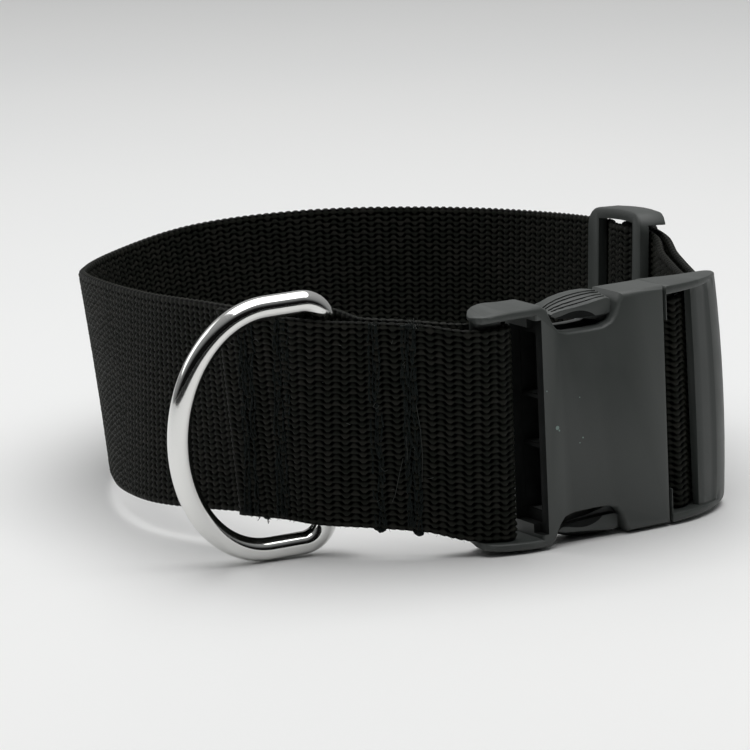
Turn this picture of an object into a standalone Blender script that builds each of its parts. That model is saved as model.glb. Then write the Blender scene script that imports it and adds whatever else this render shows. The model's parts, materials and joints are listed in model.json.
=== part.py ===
# Pet collar in wide webbing with a side release buckle, a D ring and a slider.
# Lengths are in metres, the collar stands on its edge and +Z is up.
import math

import bmesh
import bpy
import numpy as np
from mathutils import Matrix, Vector

# Webbing
WEB_WIDTH = 0.0500
WEB_THICK = 0.0022
PLY_GAP = 0.0003

# Closed path of the collar, followed from the bar of the female half round the neck
LOOP_LENGTH = 0.4975
START_HEADING = 201.26
PATH_STEPS = 1990
# at is a share of the loop length, bend is the turn in radians over one webbing width,
# lean is the outward tilt in degrees, height is the middle of the strap as a share of its width
LOOP_COLUMNS = ("at", "bend", "lean", "height")
LOOP_TABLE = (
    (0.0101, 1.203, 5.0, 0.576),
    (0.0322, 0.917, 7.4, 0.620),
    (0.0683, 0.807, 8.0, 0.646),
    (0.1085, 0.688, 7.4, 0.660),
    (0.1487, 0.574, 1.7, 0.651),
    (0.1889, 0.474, -2.6, 0.625),
    (0.2251, 0.415, -1.3, 0.604),
    (0.2573, 0.408, 2.5, 0.587),
    (0.2894, 0.448, 5.7, 0.559),
    (0.3256, 0.529, 7.9, 0.516),
    (0.3819, 0.671, 7.7, 0.495),
    (0.4422, 0.824, 6.8, 0.517),
    (0.5025, 0.847, 5.4, 0.520),
    (0.5628, 0.848, 4.5, 0.520),
    (0.6231, 0.710, 3.6, 0.540),
    (0.6834, 0.195, 2.6, 0.579),
    (0.7286, 0.535, 2.2, 0.604),
    (0.7588, 0.499, 2.0, 0.594),
    (0.7879, -0.298, 1.0, 0.560),
    (0.8261, -0.060, -0.4, 0.556),
    (0.8472, 1.805, -1.2, 0.556),
    (0.8955, 2.119, -1.2, 0.556),
    (0.9095, 0.000, -0.6, 0.556),
    (0.9799, 0.000, -0.6, 0.556),
    (0.9899, 1.121, 0.6, 0.560),
)

# D ring and its tunnel in the webbing
RING_WIRE = 0.0054
RING_SIDE_ROOM = 0.0036
RING_INNER_HEIGHT = WEB_WIDTH + RING_SIDE_ROOM
RING_DEPTH = 0.0353
RING_BOW_START = 0.0139
RING_CORNER = 0.0058
RING_AT = 0.0384
RING_SLANT = 0.085
RING_SLANT_REACH = 0.0185
RING_SWING = 42.5
RING_SAG = 0.0007
RING_ARC_STEPS = 22
RING_CORNER_STEPS = 5
RING_SIDES = 16
TUNNEL_CLEARANCE = 0.00035
TUNNEL_REACH = 0.0112
TUNNEL_FRONT_RISE = 0.0009

# Sewn end of the webbing, left of the ring
SEWN_END = 0.0620
SINGLE_FROM = 0.0660
SINGLE_UNTIL = 0.0960
SELVEDGE_FROM = 0.975
SELVEDGE_THICK = 0.3

# Where the strap eases towards each bar: lengths on each side of the hardware
F_EASE_FROM = 0.0150
F_EASE_TO = 0.0034
S_EASE_FROM = 0.0120
S_EASE_TO = 0.0020
S_DIP_FROM = 0.0008
S_DIP_TO = 0.0012
S_RISE_FROM = 0.0002
S_RISE_TO = 0.0006
S_LEAVE = 0.0010
S_TO_M = 0.0160
S_TO_M_OUTER = 0.0150
S_TO_M_INNER_OFFSET = -0.0014
S_TO_M_OUTER_OFFSET = 0.0018
M_EASE_FROM = 0.0050
M_EASE_TO = 0.0010
M_WRAP_FROM = 0.0010
M_OUTER_FROM = 0.0006
M_ROOM = 0.0005
M_PLY_ROOM = 0.0001
TAIL_ROOM = 0.0002
# Lengths between sections on each stretch, and how much longer straight ones are
STEP_SEWN = 0.0030
STEP_WRAP = 0.0016
STEP_SINGLE = 0.0018
STEP_TAIL = 0.0012
STEP_LEAST = 0.0003
STRAIGHT_FACTOR = 3.2
TURN_STEPS = 12
TUNNEL_STEPS = 14

# Buckle, both halves; distances out are from the middle of its strap bar
SLOT_ROOM = 0.0018
BUCKLE_ARM = 0.00225
BUCKLE_SLOT = WEB_WIDTH + SLOT_ROOM
BUCKLE_HEIGHT = BUCKLE_SLOT + 2 * BUCKLE_ARM
BUCKLE_RISE = 0.00065
BUCKLE_FRONT = 0.0050
BUCKLE_BACK = -0.0080
BUCKLE_EDGE = 0.0017
BUCKLE_EDGE_STEPS = 3
CAVITY_MIDDLE = -0.0014
BAR_SIDES = 10
BAR_ROOT = 0.0009
# How far a cutting solid reaches past what it cuts
CUT_PAST = 0.0020

# Female half, measured from its bar towards the male half
F_BAR_WIDTH = 0.0080
F_BAR_THICK = 0.0032
F_FORK_END = 0.0043
F_BODY_START = 0.0105
F_BODY_END = 0.0466
F_CAVITY_START = 0.0140
F_CAVITY_WALL = 0.00375
F_CAVITY_HEIGHT = BUCKLE_HEIGHT - 2 * F_CAVITY_WALL
F_CAVITY_DEPTH = 0.0060
F_NOTCH_START = 0.0131
F_NOTCH_LENGTH = 0.0216
F_NOTCH_DEPTH = 0.00705
# along is a share of the notch length, down is a share of its depth, rim is a share of the edge
NOTCH_COLUMNS = ("along", "down", "rim")
NOTCH_TABLE = (
    (-0.020, 0.00, 0.45),
    (0.045, 0.14, 0.42),
    (0.090, 0.42, 0.42),
    (0.130, 0.68, 0.42),
    (0.190, 0.89, 0.42),
    (0.300, 0.98, 0.45),
    (0.560, 1.00, 0.45),
    (0.740, 0.98, 0.45),
    (0.845, 0.87, 0.45),
    (0.910, 0.64, 0.45),
    (0.950, 0.34, 0.50),
    (0.995, 0.00, 0.70),
)
# back is a share of the fork length behind the bar, down is a share of the arm height
FORK_COLUMNS = ("back", "down", "rim")
FORK_TABLE = (
    (-1.80, 0.00, 0.45),
    (-0.80, 0.00, 0.45),
    (-0.10, 0.05, 0.40),
    (0.45, 0.20, 0.35),
    (0.85, 0.44, 0.30),
    (1.05, 0.72, 0.25),
    (1.08, 1.00, 0.20),
    (0.50, 1.00, 0.25),
)
# along is a share of the body start, out is a share of the front face's distance
PLAN_COLUMNS = ("along", "out")
PLAN_TABLE = (
    (0.07, 1.02),
    (-0.10, 1.00),
    (-0.24, 0.84),
    (-0.35, 0.54),
    (-0.41, 0.10),
    (-0.39, -0.34),
    (-0.30, -0.74),
    (-0.12, -1.04),
    (0.14, -1.24),
    (0.50, -1.43),
    (0.86, -1.56),
    (1.15, -1.62),
)

# Male half, measured from the bar of the female half
SEAM_GAP = 0.0003
M_BASE_START = 0.0425
M_BASE_END = 0.0471
M_BASE_ROOM = 0.0004
M_BASE_HEIGHT = F_CAVITY_HEIGHT - 2 * M_BASE_ROOM
M_BASE_DEPTH = 0.0052
M_SHOULDER_DEPTH = 0.0040
M_SHOULDER_INNER = M_BASE_HEIGHT - 2 * M_SHOULDER_DEPTH
M_BAR_AT = 0.0518
M_BAR_WIDTH = 0.0036
M_BAR_THICK = 0.0030
M_BAR_OFFSET = -0.0018
M_END_START = 0.0556
M_LENGTH_END = 0.0722
M_END_BACK = 0.0008
M_CROWN = 0.0012
M_TAPER = 0.62
M_GUIDE_START = 0.0170
M_GUIDE_HEIGHT = 0.0080
M_GUIDE_DEPTH = 0.0044
M_BLADE_DEPTH = 0.0050
M_LEAF_FRONT = 0.0030
M_LEAF_BACK = -0.0062
M_LEAF_START = 0.0162
M_LEAF_LENGTH = 0.0163
# along is a share of the leaf length, the others are shares of half the buckle height
LEAF_COLUMNS = ("along", "crest", "shoulder", "low")
LEAF_TABLE = (
    (0.00, 0.912, 0.902, 0.890),
    (0.05, 0.934, 0.912, 0.872),
    (0.14, 0.962, 0.920, 0.858),
    (0.28, 0.990, 0.926, 0.848),
    (0.46, 1.010, 0.934, 0.842),
    (0.64, 1.019, 0.946, 0.838),
    (0.82, 1.018, 0.962, 0.836),
    (0.94, 1.008, 0.968, 0.838),
    (1.00, 0.990, 0.956, 0.850),
)
# back is a share of the base start, top and low are shares of half the buckle height
BLADE_COLUMNS = ("back", "top", "low")
BLADE_TABLE = (
    (0.44, 0.885, 0.846),
    (0.60, 0.885, 0.820),
    (0.70, 0.874, 0.790),
    (0.77, 0.858, 0.750),
    (0.90, 0.850, 0.700),
    (1.01, 0.845, 0.640),
)
# along is a share of the exposed length, out is a share of the front face's distance
MALE_SIDE_COLUMNS = ("along", "out")
MALE_SIDE_TABLE = (
    (0.000, -1.54),
    (0.260, -1.48),
    (0.520, -1.22),
    (0.740, -0.86),
    (0.900, -0.46),
    (0.985, -0.06),
    (1.000, 0.26),
    (0.970, 0.60),
    (0.880, 0.82),
    (0.740, 0.92),
    (0.400, 0.96),
    (0.000, 0.98),
)
# along is a share of the end bar width, out is a share of the front face's distance
END_BAR_COLUMNS = ("along", "out")
END_BAR_TABLE = (
    (0.000, 0.22),
    (0.960, 0.16),
    (0.990, 0.30),
    (0.960, 0.56),
    (0.870, 0.76),
    (0.740, 0.87),
    (0.560, 0.93),
    (0.400, 0.93),
    (0.350, 0.90),
    (0.310, 0.80),
    (0.060, 0.74),
    (0.000, 0.64),
)

# Slider
S_START = 0.3435
S_LENGTH = 0.0315
S_SLOT_ROOM = 0.0026
S_ARM = 0.0027
S_SLOT = WEB_WIDTH + S_SLOT_ROOM
S_HEIGHT = S_SLOT + 2 * S_ARM
S_SHEAR = 0.058
S_CORNER = 0.0045
S_CORNER_STEPS = 5
S_CUT_PAST = 0.0010
S_END_BAR = 0.0058
S_INNER = -0.0038
S_OUTER = 0.0033
S_END_TOP = -0.0014
S_BAR_WIDTH = 0.0060
S_BAR_THICK = 0.0024
S_BAR_OFFSET = 0.0021
S_EDGE = 0.0008
TAIL_END = 0.0195

# Largest step when a straight piece is bent along the path
BEND_STEP_TIGHT = 0.0022
BEND_STEP_SLACK = 0.0052

for old in list(bpy.data.objects):
    bpy.data.objects.remove(old, do_unlink=True)


# Path of the collar
def periodic_line(x, xp, fp, period):
    xs = np.concatenate(([xp[-1] - period], xp, [xp[0] + period]))
    fs = np.concatenate(([fp[-1]], fp, [fp[0]]))
    return np.interp(x, xs, fs)


def periodic_curve(x, xp, fp, period):
    xs = np.concatenate((xp[-2:] - period, xp, xp[:2] + period))
    fs = np.concatenate((fp[-2:], fp, fp[:2]))
    slopes = np.zeros_like(fs)
    slopes[1:-1] = (fs[2:] - fs[:-2]) / (xs[2:] - xs[:-2])
    j = np.clip(np.searchsorted(xs, x, side="right") - 1, 1, len(xs) - 3)
    h = xs[j + 1] - xs[j]
    t = (x - xs[j]) / h
    first = (2 * t**3 - 3 * t**2 + 1) * fs[j] + (t**3 - 2 * t**2 + t) * h * slopes[j]
    second = (3 * t**2 - 2 * t**3) * fs[j + 1] + (t**3 - t**2) * h * slopes[j + 1]
    return first + second


def running_sum(values, step):
    return np.concatenate(([0.0], np.cumsum(0.5 * (values[1:] + values[:-1]) * step)))


def loop_path():
    table = np.array(LOOP_TABLE)
    at = table[:, LOOP_COLUMNS.index("at")] * LOOP_LENGTH
    s = np.linspace(0.0, LOOP_LENGTH, PATH_STEPS + 1)
    step = s[1]
    bend = periodic_line(s, at, table[:, LOOP_COLUMNS.index("bend")], LOOP_LENGTH) / WEB_WIDTH
    turned = running_sum(bend, step)
    turned *= 2 * math.pi / turned[-1]
    heading = math.radians(START_HEADING) - turned
    x = running_sum(np.cos(heading), step)
    y = running_sum(np.sin(heading), step)
    share = s / LOOP_LENGTH
    x -= x[-1] * share
    y -= y[-1] * share
    lean = periodic_curve(s, at, table[:, LOOP_COLUMNS.index("lean")], LOOP_LENGTH)
    height = periodic_curve(s, at, table[:, LOOP_COLUMNS.index("height")], LOOP_LENGTH)
    return s, x, y, heading, np.radians(lean), height * WEB_WIDTH


PATH = loop_path()


def place(s, out, up):
    # Point at a length s along the path, out from the neck and up across the strap
    s = np.mod(np.asarray(s, dtype=float), LOOP_LENGTH)
    out = np.asarray(out, dtype=float)
    up = np.asarray(up, dtype=float)
    px = np.interp(s, PATH[0], PATH[1])
    py = np.interp(s, PATH[0], PATH[2])
    heading = np.interp(s, PATH[0], PATH[3])
    lean = np.interp(s, PATH[0], PATH[4])
    pz = np.interp(s, PATH[0], PATH[5])
    nx = -np.sin(heading)
    ny = np.cos(heading)
    across = out * np.cos(lean) + up * np.sin(lean)
    z = pz - out * np.sin(lean) + up * np.cos(lean)
    return np.stack((px + nx * across, py + ny * across, z), axis=-1)


def ring_window(s):
    distance = np.abs(np.asarray(s, dtype=float) - RING_AT) / RING_SLANT_REACH
    return np.where(distance < 1.0, np.cos(0.5 * math.pi * np.clip(distance, 0, 1)) ** 2, 0.0)


def place_strap(s, out, up):
    # The cross threads lean a little where the ring pulls on them
    s = np.asarray(s, dtype=float)
    return place(s - RING_SLANT * np.asarray(up) * ring_window(s), out, up)


# Material and object helpers
def material(name, colour, roughness, metallic=0.0):
    mat = bpy.data.materials.new(name)
    mat.use_nodes = True
    shader = mat.node_tree.nodes["Principled BSDF"]
    shader.inputs["Base Color"].default_value = (*colour, 1.0)
    shader.inputs["Roughness"].default_value = roughness
    shader.inputs["Metallic"].default_value = metallic
    return mat


def mesh_object(name, bm, mat=None):
    mesh = bpy.data.meshes.new(name)
    bm.to_mesh(mesh)
    bm.free()
    obj = bpy.data.objects.new(name, mesh)
    bpy.context.scene.collection.objects.link(obj)
    if mat is not None:
        mesh.materials.append(mat)
    return obj


def grid_solid(rings, closed):
    # Solid made of equal rings of points, capped at both ends unless it is closed
    bm = bmesh.new()
    rows = [[bm.verts.new(Vector(p)) for p in ring] for ring in rings]
    count = len(rows[0])
    spans = len(rows) if closed else len(rows) - 1
    for i in range(spans):
        a = rows[i]
        b = rows[(i + 1) % len(rows)]
        for j in range(count):
            k = (j + 1) % count
            bm.faces.new((a[j], a[k], b[k], b[j]))
    if not closed:
        bm.faces.new(list(reversed(rows[0])))
        bm.faces.new(rows[-1])
    bmesh.ops.recalc_face_normals(bm, faces=bm.faces[:])
    if bm.calc_volume(signed=True) < 0:
        bmesh.ops.reverse_faces(bm, faces=bm.faces[:])
    return bm


def inset(points, amount):
    # Outline moved inwards by one amount for each point, for an outline listed anticlockwise
    pts = np.array(points, dtype=float)
    before = pts - np.roll(pts, 1, axis=0)
    after = np.roll(pts, -1, axis=0) - pts
    before /= np.linalg.norm(before, axis=1)[:, None]
    after /= np.linalg.norm(after, axis=1)[:, None]
    n1 = np.stack((-before[:, 1], before[:, 0]), axis=1)
    n2 = np.stack((-after[:, 1], after[:, 0]), axis=1)
    mid = n1 + n2
    scale = np.maximum(1.0 + (n1 * n2).sum(axis=1), 0.5)
    return pts + mid * (amount / scale)[:, None]


def anticlockwise(points):
    area = 0.0
    for (x0, y0), (x1, y1) in zip(points, points[1:] + points[:1]):
        area += x0 * y1 - x1 * y0
    return points if area > 0 else list(reversed(points))


def slab(outline, low, high, edge, steps, axes, rims=None):
    # Outline given a thickness, its two rims rounded; axes names the three directions
    turned = anticlockwise([tuple(p) for p in outline])
    rims = np.ones(len(outline)) if rims is None else np.array(rims)
    if turned[0] != tuple(outline[0]):
        rims = rims[::-1]
    outline = turned
    levels = []
    for i in range(steps + 1):
        angle = 0.5 * math.pi * i / steps if steps else 0.5 * math.pi
        levels.append((edge * (1 - math.sin(angle)), low + edge * (1 - math.cos(angle))))
    if steps == 0:
        levels = [(0.0, low)]
    upper = [(amount, high - (level - low)) for amount, level in reversed(levels)]
    rings = []
    for amount, level in levels + upper:
        ring = []
        for a, b in inset(outline, amount * rims):
            point = [0.0, 0.0, 0.0]
            point[axes[0]] = a
            point[axes[1]] = b
            point[axes[2]] = level
            ring.append(point)
        rings.append(ring)
    return grid_solid(rings, closed=False)


def box(s0, s1, out0, out1, up0, up1):
    outline = ((s0, up0), (s1, up0), (s1, up1), (s0, up1))
    return slab(outline, out0, out1, 0.0, 0, (0, 2, 1))


def stadium(centre_s, centre_out, width, thick, up0, up1, sides):
    # Bar with half round edges, its length across the strap
    radius = thick / 2
    reach = width / 2 - radius
    outline = []
    for side in (1, -1):
        for i in range(sides + 1):
            angle = math.pi * (i / sides - 0.5)
            along = centre_s + side * (reach + radius * math.cos(angle))
            outline.append((along, centre_out + side * radius * math.sin(angle)))
    return slab(outline, up0, up1, 0.0, 0, (0, 1, 2))


def combine(target_bm, others, operation):
    # Joins or cuts solids and gives back the result as one mesh
    base = mesh_object("work_base", target_bm)
    tools = []
    for index, bm in enumerate(others):
        tool = mesh_object("work_tool_%d" % index, bm)
        tools.append(tool)
        modifier = base.modifiers.new("step_%d" % index, "BOOLEAN")
        modifier.operation = operation
        modifier.solver = "EXACT"
        modifier.object = tool
    bpy.context.view_layer.update()
    graph = bpy.context.evaluated_depsgraph_get()
    result = bmesh.new()
    result.from_mesh(base.evaluated_get(graph).to_mesh())
    for obj in [base] + tools:
        bpy.data.objects.remove(obj, do_unlink=True)
    bmesh.ops.remove_doubles(result, verts=result.verts[:], dist=0.000002)
    bmesh.ops.dissolve_degenerate(result, edges=result.edges[:], dist=0.000002)
    return result


def bend_along_path(bm, step, first, last):
    # Cuts the flat solid crossways, then carries every point to its place on the path
    count = int(math.ceil((last - first) / step))
    for i in range(1, count):
        at = first + (last - first) * i / count
        geometry = bm.verts[:] + bm.edges[:] + bm.faces[:]
        bmesh.ops.bisect_plane(bm, geom=geometry, dist=0.0000005, plane_co=(at, 0, 0), plane_no=(1, 0, 0))
    bmesh.ops.triangulate(bm, faces=bm.faces[:])
    for vert in bm.verts:
        vert.co = Vector(place(vert.co.x, vert.co.y, vert.co.z))
    bmesh.ops.recalc_face_normals(bm, faces=bm.faces[:])
    if bm.calc_volume(signed=True) < 0:
        bmesh.ops.reverse_faces(bm, faces=bm.faces[:])
    return bm


# Run of the webbing, as points of length along the path and distance out of it
HALF = WEB_THICK / 2
PLY = PLY_GAP / 2 + HALF
PITCH = WEB_THICK + PLY_GAP


def ease(t):
    t = min(max(t, 0.0), 1.0)
    return t * t * (3 - 2 * t)


def lay(knots, step):
    # Eased line through knots of length and offset, without its last point
    points = []
    for (s0, o0), (s1, o1) in zip(knots, knots[1:]):
        count = max(1, int(math.ceil(abs(s1 - s0) / (step if o0 != o1 else STRAIGHT_FACTOR * step))))
        for i in range(count):
            t = i / count
            points.append((s0 + (s1 - s0) * t, o0 + (o1 - o0) * ease(t)))
    return points


def turn(centre, radius, start, end):
    # Arc of the strap round a bar, angles in degrees
    points = []
    for i in range(TURN_STEPS + 1):
        angle = math.radians(start + (end - start) * i / TURN_STEPS)
        points.append((centre[0] + radius * math.cos(angle), centre[1] + radius * math.sin(angle)))
    return points


RING_FRONT = PLY + TUNNEL_FRONT_RISE
RING_OUT = RING_FRONT - HALF - TUNNEL_CLEARANCE - RING_WIRE / 2
RING_BACK = RING_OUT - RING_WIRE / 2 - TUNNEL_CLEARANCE - HALF


def tunnel(side):
    # Offset of the ply on one side of the ring bar, from left of the ring to right of it
    peak = RING_FRONT if side > 0 else RING_BACK
    base = PLY * side
    points = []
    for i in range(TUNNEL_STEPS + 1):
        t = -1 + 2 * i / TUNNEL_STEPS
        offset = base + (peak - base) * math.cos(0.5 * math.pi * t) ** 2
        points.append((RING_AT - t * TUNNEL_REACH, offset))
    return points


def strap_run():
    wrap_f = F_BAR_THICK / 2 + PLY_GAP + HALF
    nose_f = F_BAR_WIDTH / 2 - F_BAR_THICK / 2
    points = lay(((SEWN_END, PLY), (RING_AT + TUNNEL_REACH, PLY)), STEP_SEWN)
    points += tunnel(1)
    front = ((RING_AT - TUNNEL_REACH, PLY), (F_EASE_FROM, PLY), (F_EASE_TO, wrap_f), (-nose_f, wrap_f))
    points += lay(front, STEP_WRAP)[1:]
    points += turn((-nose_f, 0.0), wrap_f, 90, 270)
    back = ((-nose_f, -wrap_f), (F_EASE_TO, -wrap_f), (F_EASE_FROM, -PLY), (RING_AT - TUNNEL_REACH, -PLY))
    points += lay(back, STEP_WRAP)[1:]
    points += list(reversed(tunnel(-1)))

    # Single strap round the neck to the slider
    s_mid = S_START + S_LENGTH / 2
    s_end = S_START + S_LENGTH
    over = S_END_TOP + PLY_GAP + HALF
    wrap_s = S_BAR_THICK / 2 + PLY_GAP + HALF
    nose_s = S_BAR_WIDTH / 2 - S_BAR_THICK / 2
    fold = S_BAR_OFFSET - wrap_s
    under = fold - PITCH
    slot_left = S_START + S_END_BAR
    slot_right = s_end - S_END_BAR
    left_nose = s_mid - nose_s
    right_nose = s_mid + nose_s
    m_end = LOOP_LENGTH - M_LENGTH_END
    m_slot = LOOP_LENGTH - M_END_START
    m_bar = LOOP_LENGTH - M_BAR_AT
    wrap_m = M_BAR_THICK / 2 + PLY_GAP + HALF
    nose_m = M_BAR_WIDTH / 2 - M_BAR_THICK / 2
    behind = M_END_BACK - M_ROOM - HALF
    deep = behind - PITCH - M_PLY_ROOM
    single = (
        (RING_AT + TUNNEL_REACH, -PLY),
        (SINGLE_FROM, -PLY),
        (SINGLE_UNTIL, 0.0),
        (S_START - S_EASE_FROM, 0.0),
        (S_START - S_EASE_TO, over),
        (slot_left - S_DIP_FROM, over),
        (left_nose - S_DIP_TO, under),
        (right_nose + S_RISE_FROM, under),
        (slot_right + S_RISE_TO, over),
        (s_end + S_LEAVE, over),
        (s_end + S_TO_M, S_TO_M_INNER_OFFSET),
        (m_end - M_EASE_FROM, deep),
        (m_slot - M_EASE_TO, deep),
        (m_bar - nose_m - M_WRAP_FROM, M_BAR_OFFSET - wrap_m),
        (m_bar + nose_m, M_BAR_OFFSET - wrap_m),
    )
    points += lay(single, STEP_SINGLE)[1:]
    points += turn((m_bar + nose_m, M_BAR_OFFSET), wrap_m, -90, 90)

    # Outer ply back to the slider, folded round its middle bar
    above = over + PITCH
    outer = (
        (m_bar + nose_m, M_BAR_OFFSET + wrap_m),
        (m_bar - nose_m, M_BAR_OFFSET + wrap_m),
        (m_slot - M_OUTER_FROM, behind),
        (m_end - M_EASE_TO, behind),
        (s_end + S_TO_M_OUTER, S_TO_M_OUTER_OFFSET),
        (s_end + S_LEAVE, above),
        (slot_right, above),
        (right_nose, S_BAR_OFFSET + wrap_s),
        (left_nose, S_BAR_OFFSET + wrap_s),
    )
    points += lay(outer, STEP_SINGLE)[1:]
    points += turn((left_nose, S_BAR_OFFSET), wrap_s, 90, 270)
    meet = fold + TAIL_ROOM
    tail = (
        (left_nose, fold),
        (right_nose, fold),
        (S_START + TAIL_END, meet),
    )
    points += lay(tail, STEP_TAIL)[1:]
    points.append((S_START + TAIL_END, meet))
    return np.array(points)


def strap_solid():
    run = strap_run()
    keep = [0]
    for i in range(1, len(run)):
        if np.linalg.norm(run[i] - run[keep[-1]]) > STEP_LEAST:
            keep.append(i)
    run = run[keep]
    tangent = np.gradient(run, axis=0)
    before = run[1:-1] - run[:-2]
    after = run[2:] - run[1:-1]
    before /= np.linalg.norm(before, axis=1)[:, None]
    after /= np.linalg.norm(after, axis=1)[:, None]
    tangent[1:-1] = before + after
    tangent /= np.linalg.norm(tangent, axis=1)[:, None]
    normal = np.stack((-tangent[:, 1], tangent[:, 0]), axis=1)
    # Section of the webbing, thick in the middle and thinner at its two selvedges
    half_width = WEB_WIDTH / 2
    section = (
        (1.0, -SELVEDGE_THICK),
        (1.0, SELVEDGE_THICK),
        (SELVEDGE_FROM, 1.0),
        (-SELVEDGE_FROM, 1.0),
        (-1.0, SELVEDGE_THICK),
        (-1.0, -SELVEDGE_THICK),
        (-SELVEDGE_FROM, -1.0),
        (SELVEDGE_FROM, -1.0),
    )
    rings = []
    for point, side in zip(run, normal):
        ring = []
        for across, through in section:
            at = point + side * through * HALF
            ring.append(place_strap(at[0], at[1], across * half_width))
        rings.append(ring)
    return grid_solid(rings, closed=False)


def raise_all(bm, amount):
    for vert in bm.verts:
        vert.co.z += amount
    return bm


# Female half of the buckle, flat, then bent along the path
def female_solid():
    half = BUCKLE_HEIGHT / 2
    slot = BUCKLE_SLOT / 2
    arm = half - slot
    upper = [(F_BODY_START, slot, 0.3)]
    for back, down, rim in reversed(FORK_TABLE):
        upper.append((-back * F_FORK_END, half - down * arm, rim))
    for along, down, rim in NOTCH_TABLE:
        upper.append((F_NOTCH_START + along * F_NOTCH_LENGTH, half - down * F_NOTCH_DEPTH, rim))
    upper.append((F_BODY_END, half, 0.8))
    lower = [(along, -height, rim) for along, height, rim in reversed(upper)]
    outline = [(LOOP_LENGTH - along, height) for along, height, rim in upper + lower]
    rims = [rim for along, height, rim in upper + lower]
    shell = slab(outline, BUCKLE_BACK, BUCKLE_FRONT, BUCKLE_EDGE, BUCKLE_EDGE_STEPS, (0, 2, 1), rims)
    plan = [(LOOP_LENGTH - F_BODY_END - CUT_PAST, BUCKLE_FRONT * 1.02)]
    for along, out in PLAN_TABLE:
        plan.append((LOOP_LENGTH - along * F_BODY_START, out * BUCKLE_FRONT))
    plan.append((LOOP_LENGTH - F_BODY_END - CUT_PAST, BUCKLE_BACK * 1.02))
    trim = slab(plan, -half - CUT_PAST, half + CUT_PAST, 0.0, 0, (0, 1, 2))
    bar = stadium(LOOP_LENGTH, 0.0, F_BAR_WIDTH, F_BAR_THICK, -slot - BAR_ROOT, slot + BAR_ROOT, BAR_SIDES)
    cavity = box(
        LOOP_LENGTH - F_BODY_END - CUT_PAST,
        LOOP_LENGTH - F_CAVITY_START,
        CAVITY_MIDDLE - F_CAVITY_DEPTH / 2,
        CAVITY_MIDDLE + F_CAVITY_DEPTH / 2,
        -F_CAVITY_HEIGHT / 2,
        F_CAVITY_HEIGHT / 2,
    )
    trimmed = combine(shell, [trim], "INTERSECT")
    joined = combine(trimmed, [bar], "UNION")
    hollow = combine(joined, [cavity], "DIFFERENCE")
    raise_all(hollow, BUCKLE_RISE)
    return bend_along_path(hollow, BEND_STEP_TIGHT, LOOP_LENGTH - F_BODY_START, LOOP_LENGTH + F_FORK_END)


# Male half of the buckle
def leaf_solid(sign):
    half = BUCKLE_HEIGHT / 2
    depth = M_LEAF_FRONT - M_LEAF_BACK
    rings = []
    for along, crest, shoulder, low in LEAF_TABLE:
        s = LOOP_LENGTH - M_LEAF_START - along * M_LEAF_LENGTH
        between = 0.35 * shoulder + 0.65 * crest
        section = (
            (0.00, low),
            (0.00, 0.5 * shoulder + 0.5 * crest),
            (0.14, crest - 0.004),
            (0.42, crest),
            (0.66, between),
            (1.00, shoulder),
            (1.00, low),
        )
        rings.append([(s, M_LEAF_BACK + o * depth, sign * v * half) for o, v in section])
    return grid_solid(rings, closed=False)


def crown(bm):
    # The end bar bulges outwards in the middle and the two rails get thinner towards it
    half = BUCKLE_HEIGHT / 2
    inner = BUCKLE_SLOT / 2
    for share in (-0.92, -0.75, -0.5, -0.25, 0.0, 0.25, 0.5, 0.75, 0.92):
        geometry = bm.verts[:] + bm.edges[:] + bm.faces[:]
        at = (0, 0, share * inner)
        bmesh.ops.bisect_plane(bm, geom=geometry, dist=0.0000005, plane_co=at, plane_no=(0, 0, 1))
    for vert in bm.verts:
        back = LOOP_LENGTH - vert.co.x
        far = (back - F_BODY_END) / (M_LENGTH_END - F_BODY_END)
        if far <= 0:
            continue
        if vert.co.y > 0.0015:
            bow = (vert.co.z / half) ** 2 * min(1.0, far * 1.6)
            vert.co.y -= M_CROWN * bow * vert.co.y / BUCKLE_FRONT
        excess = abs(vert.co.z) - inner
        if excess > 0:
            vert.co.z = math.copysign(inner + excess * (1 - M_TAPER * min(far, 1.0) ** 1.5), vert.co.z)
    return bm


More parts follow.
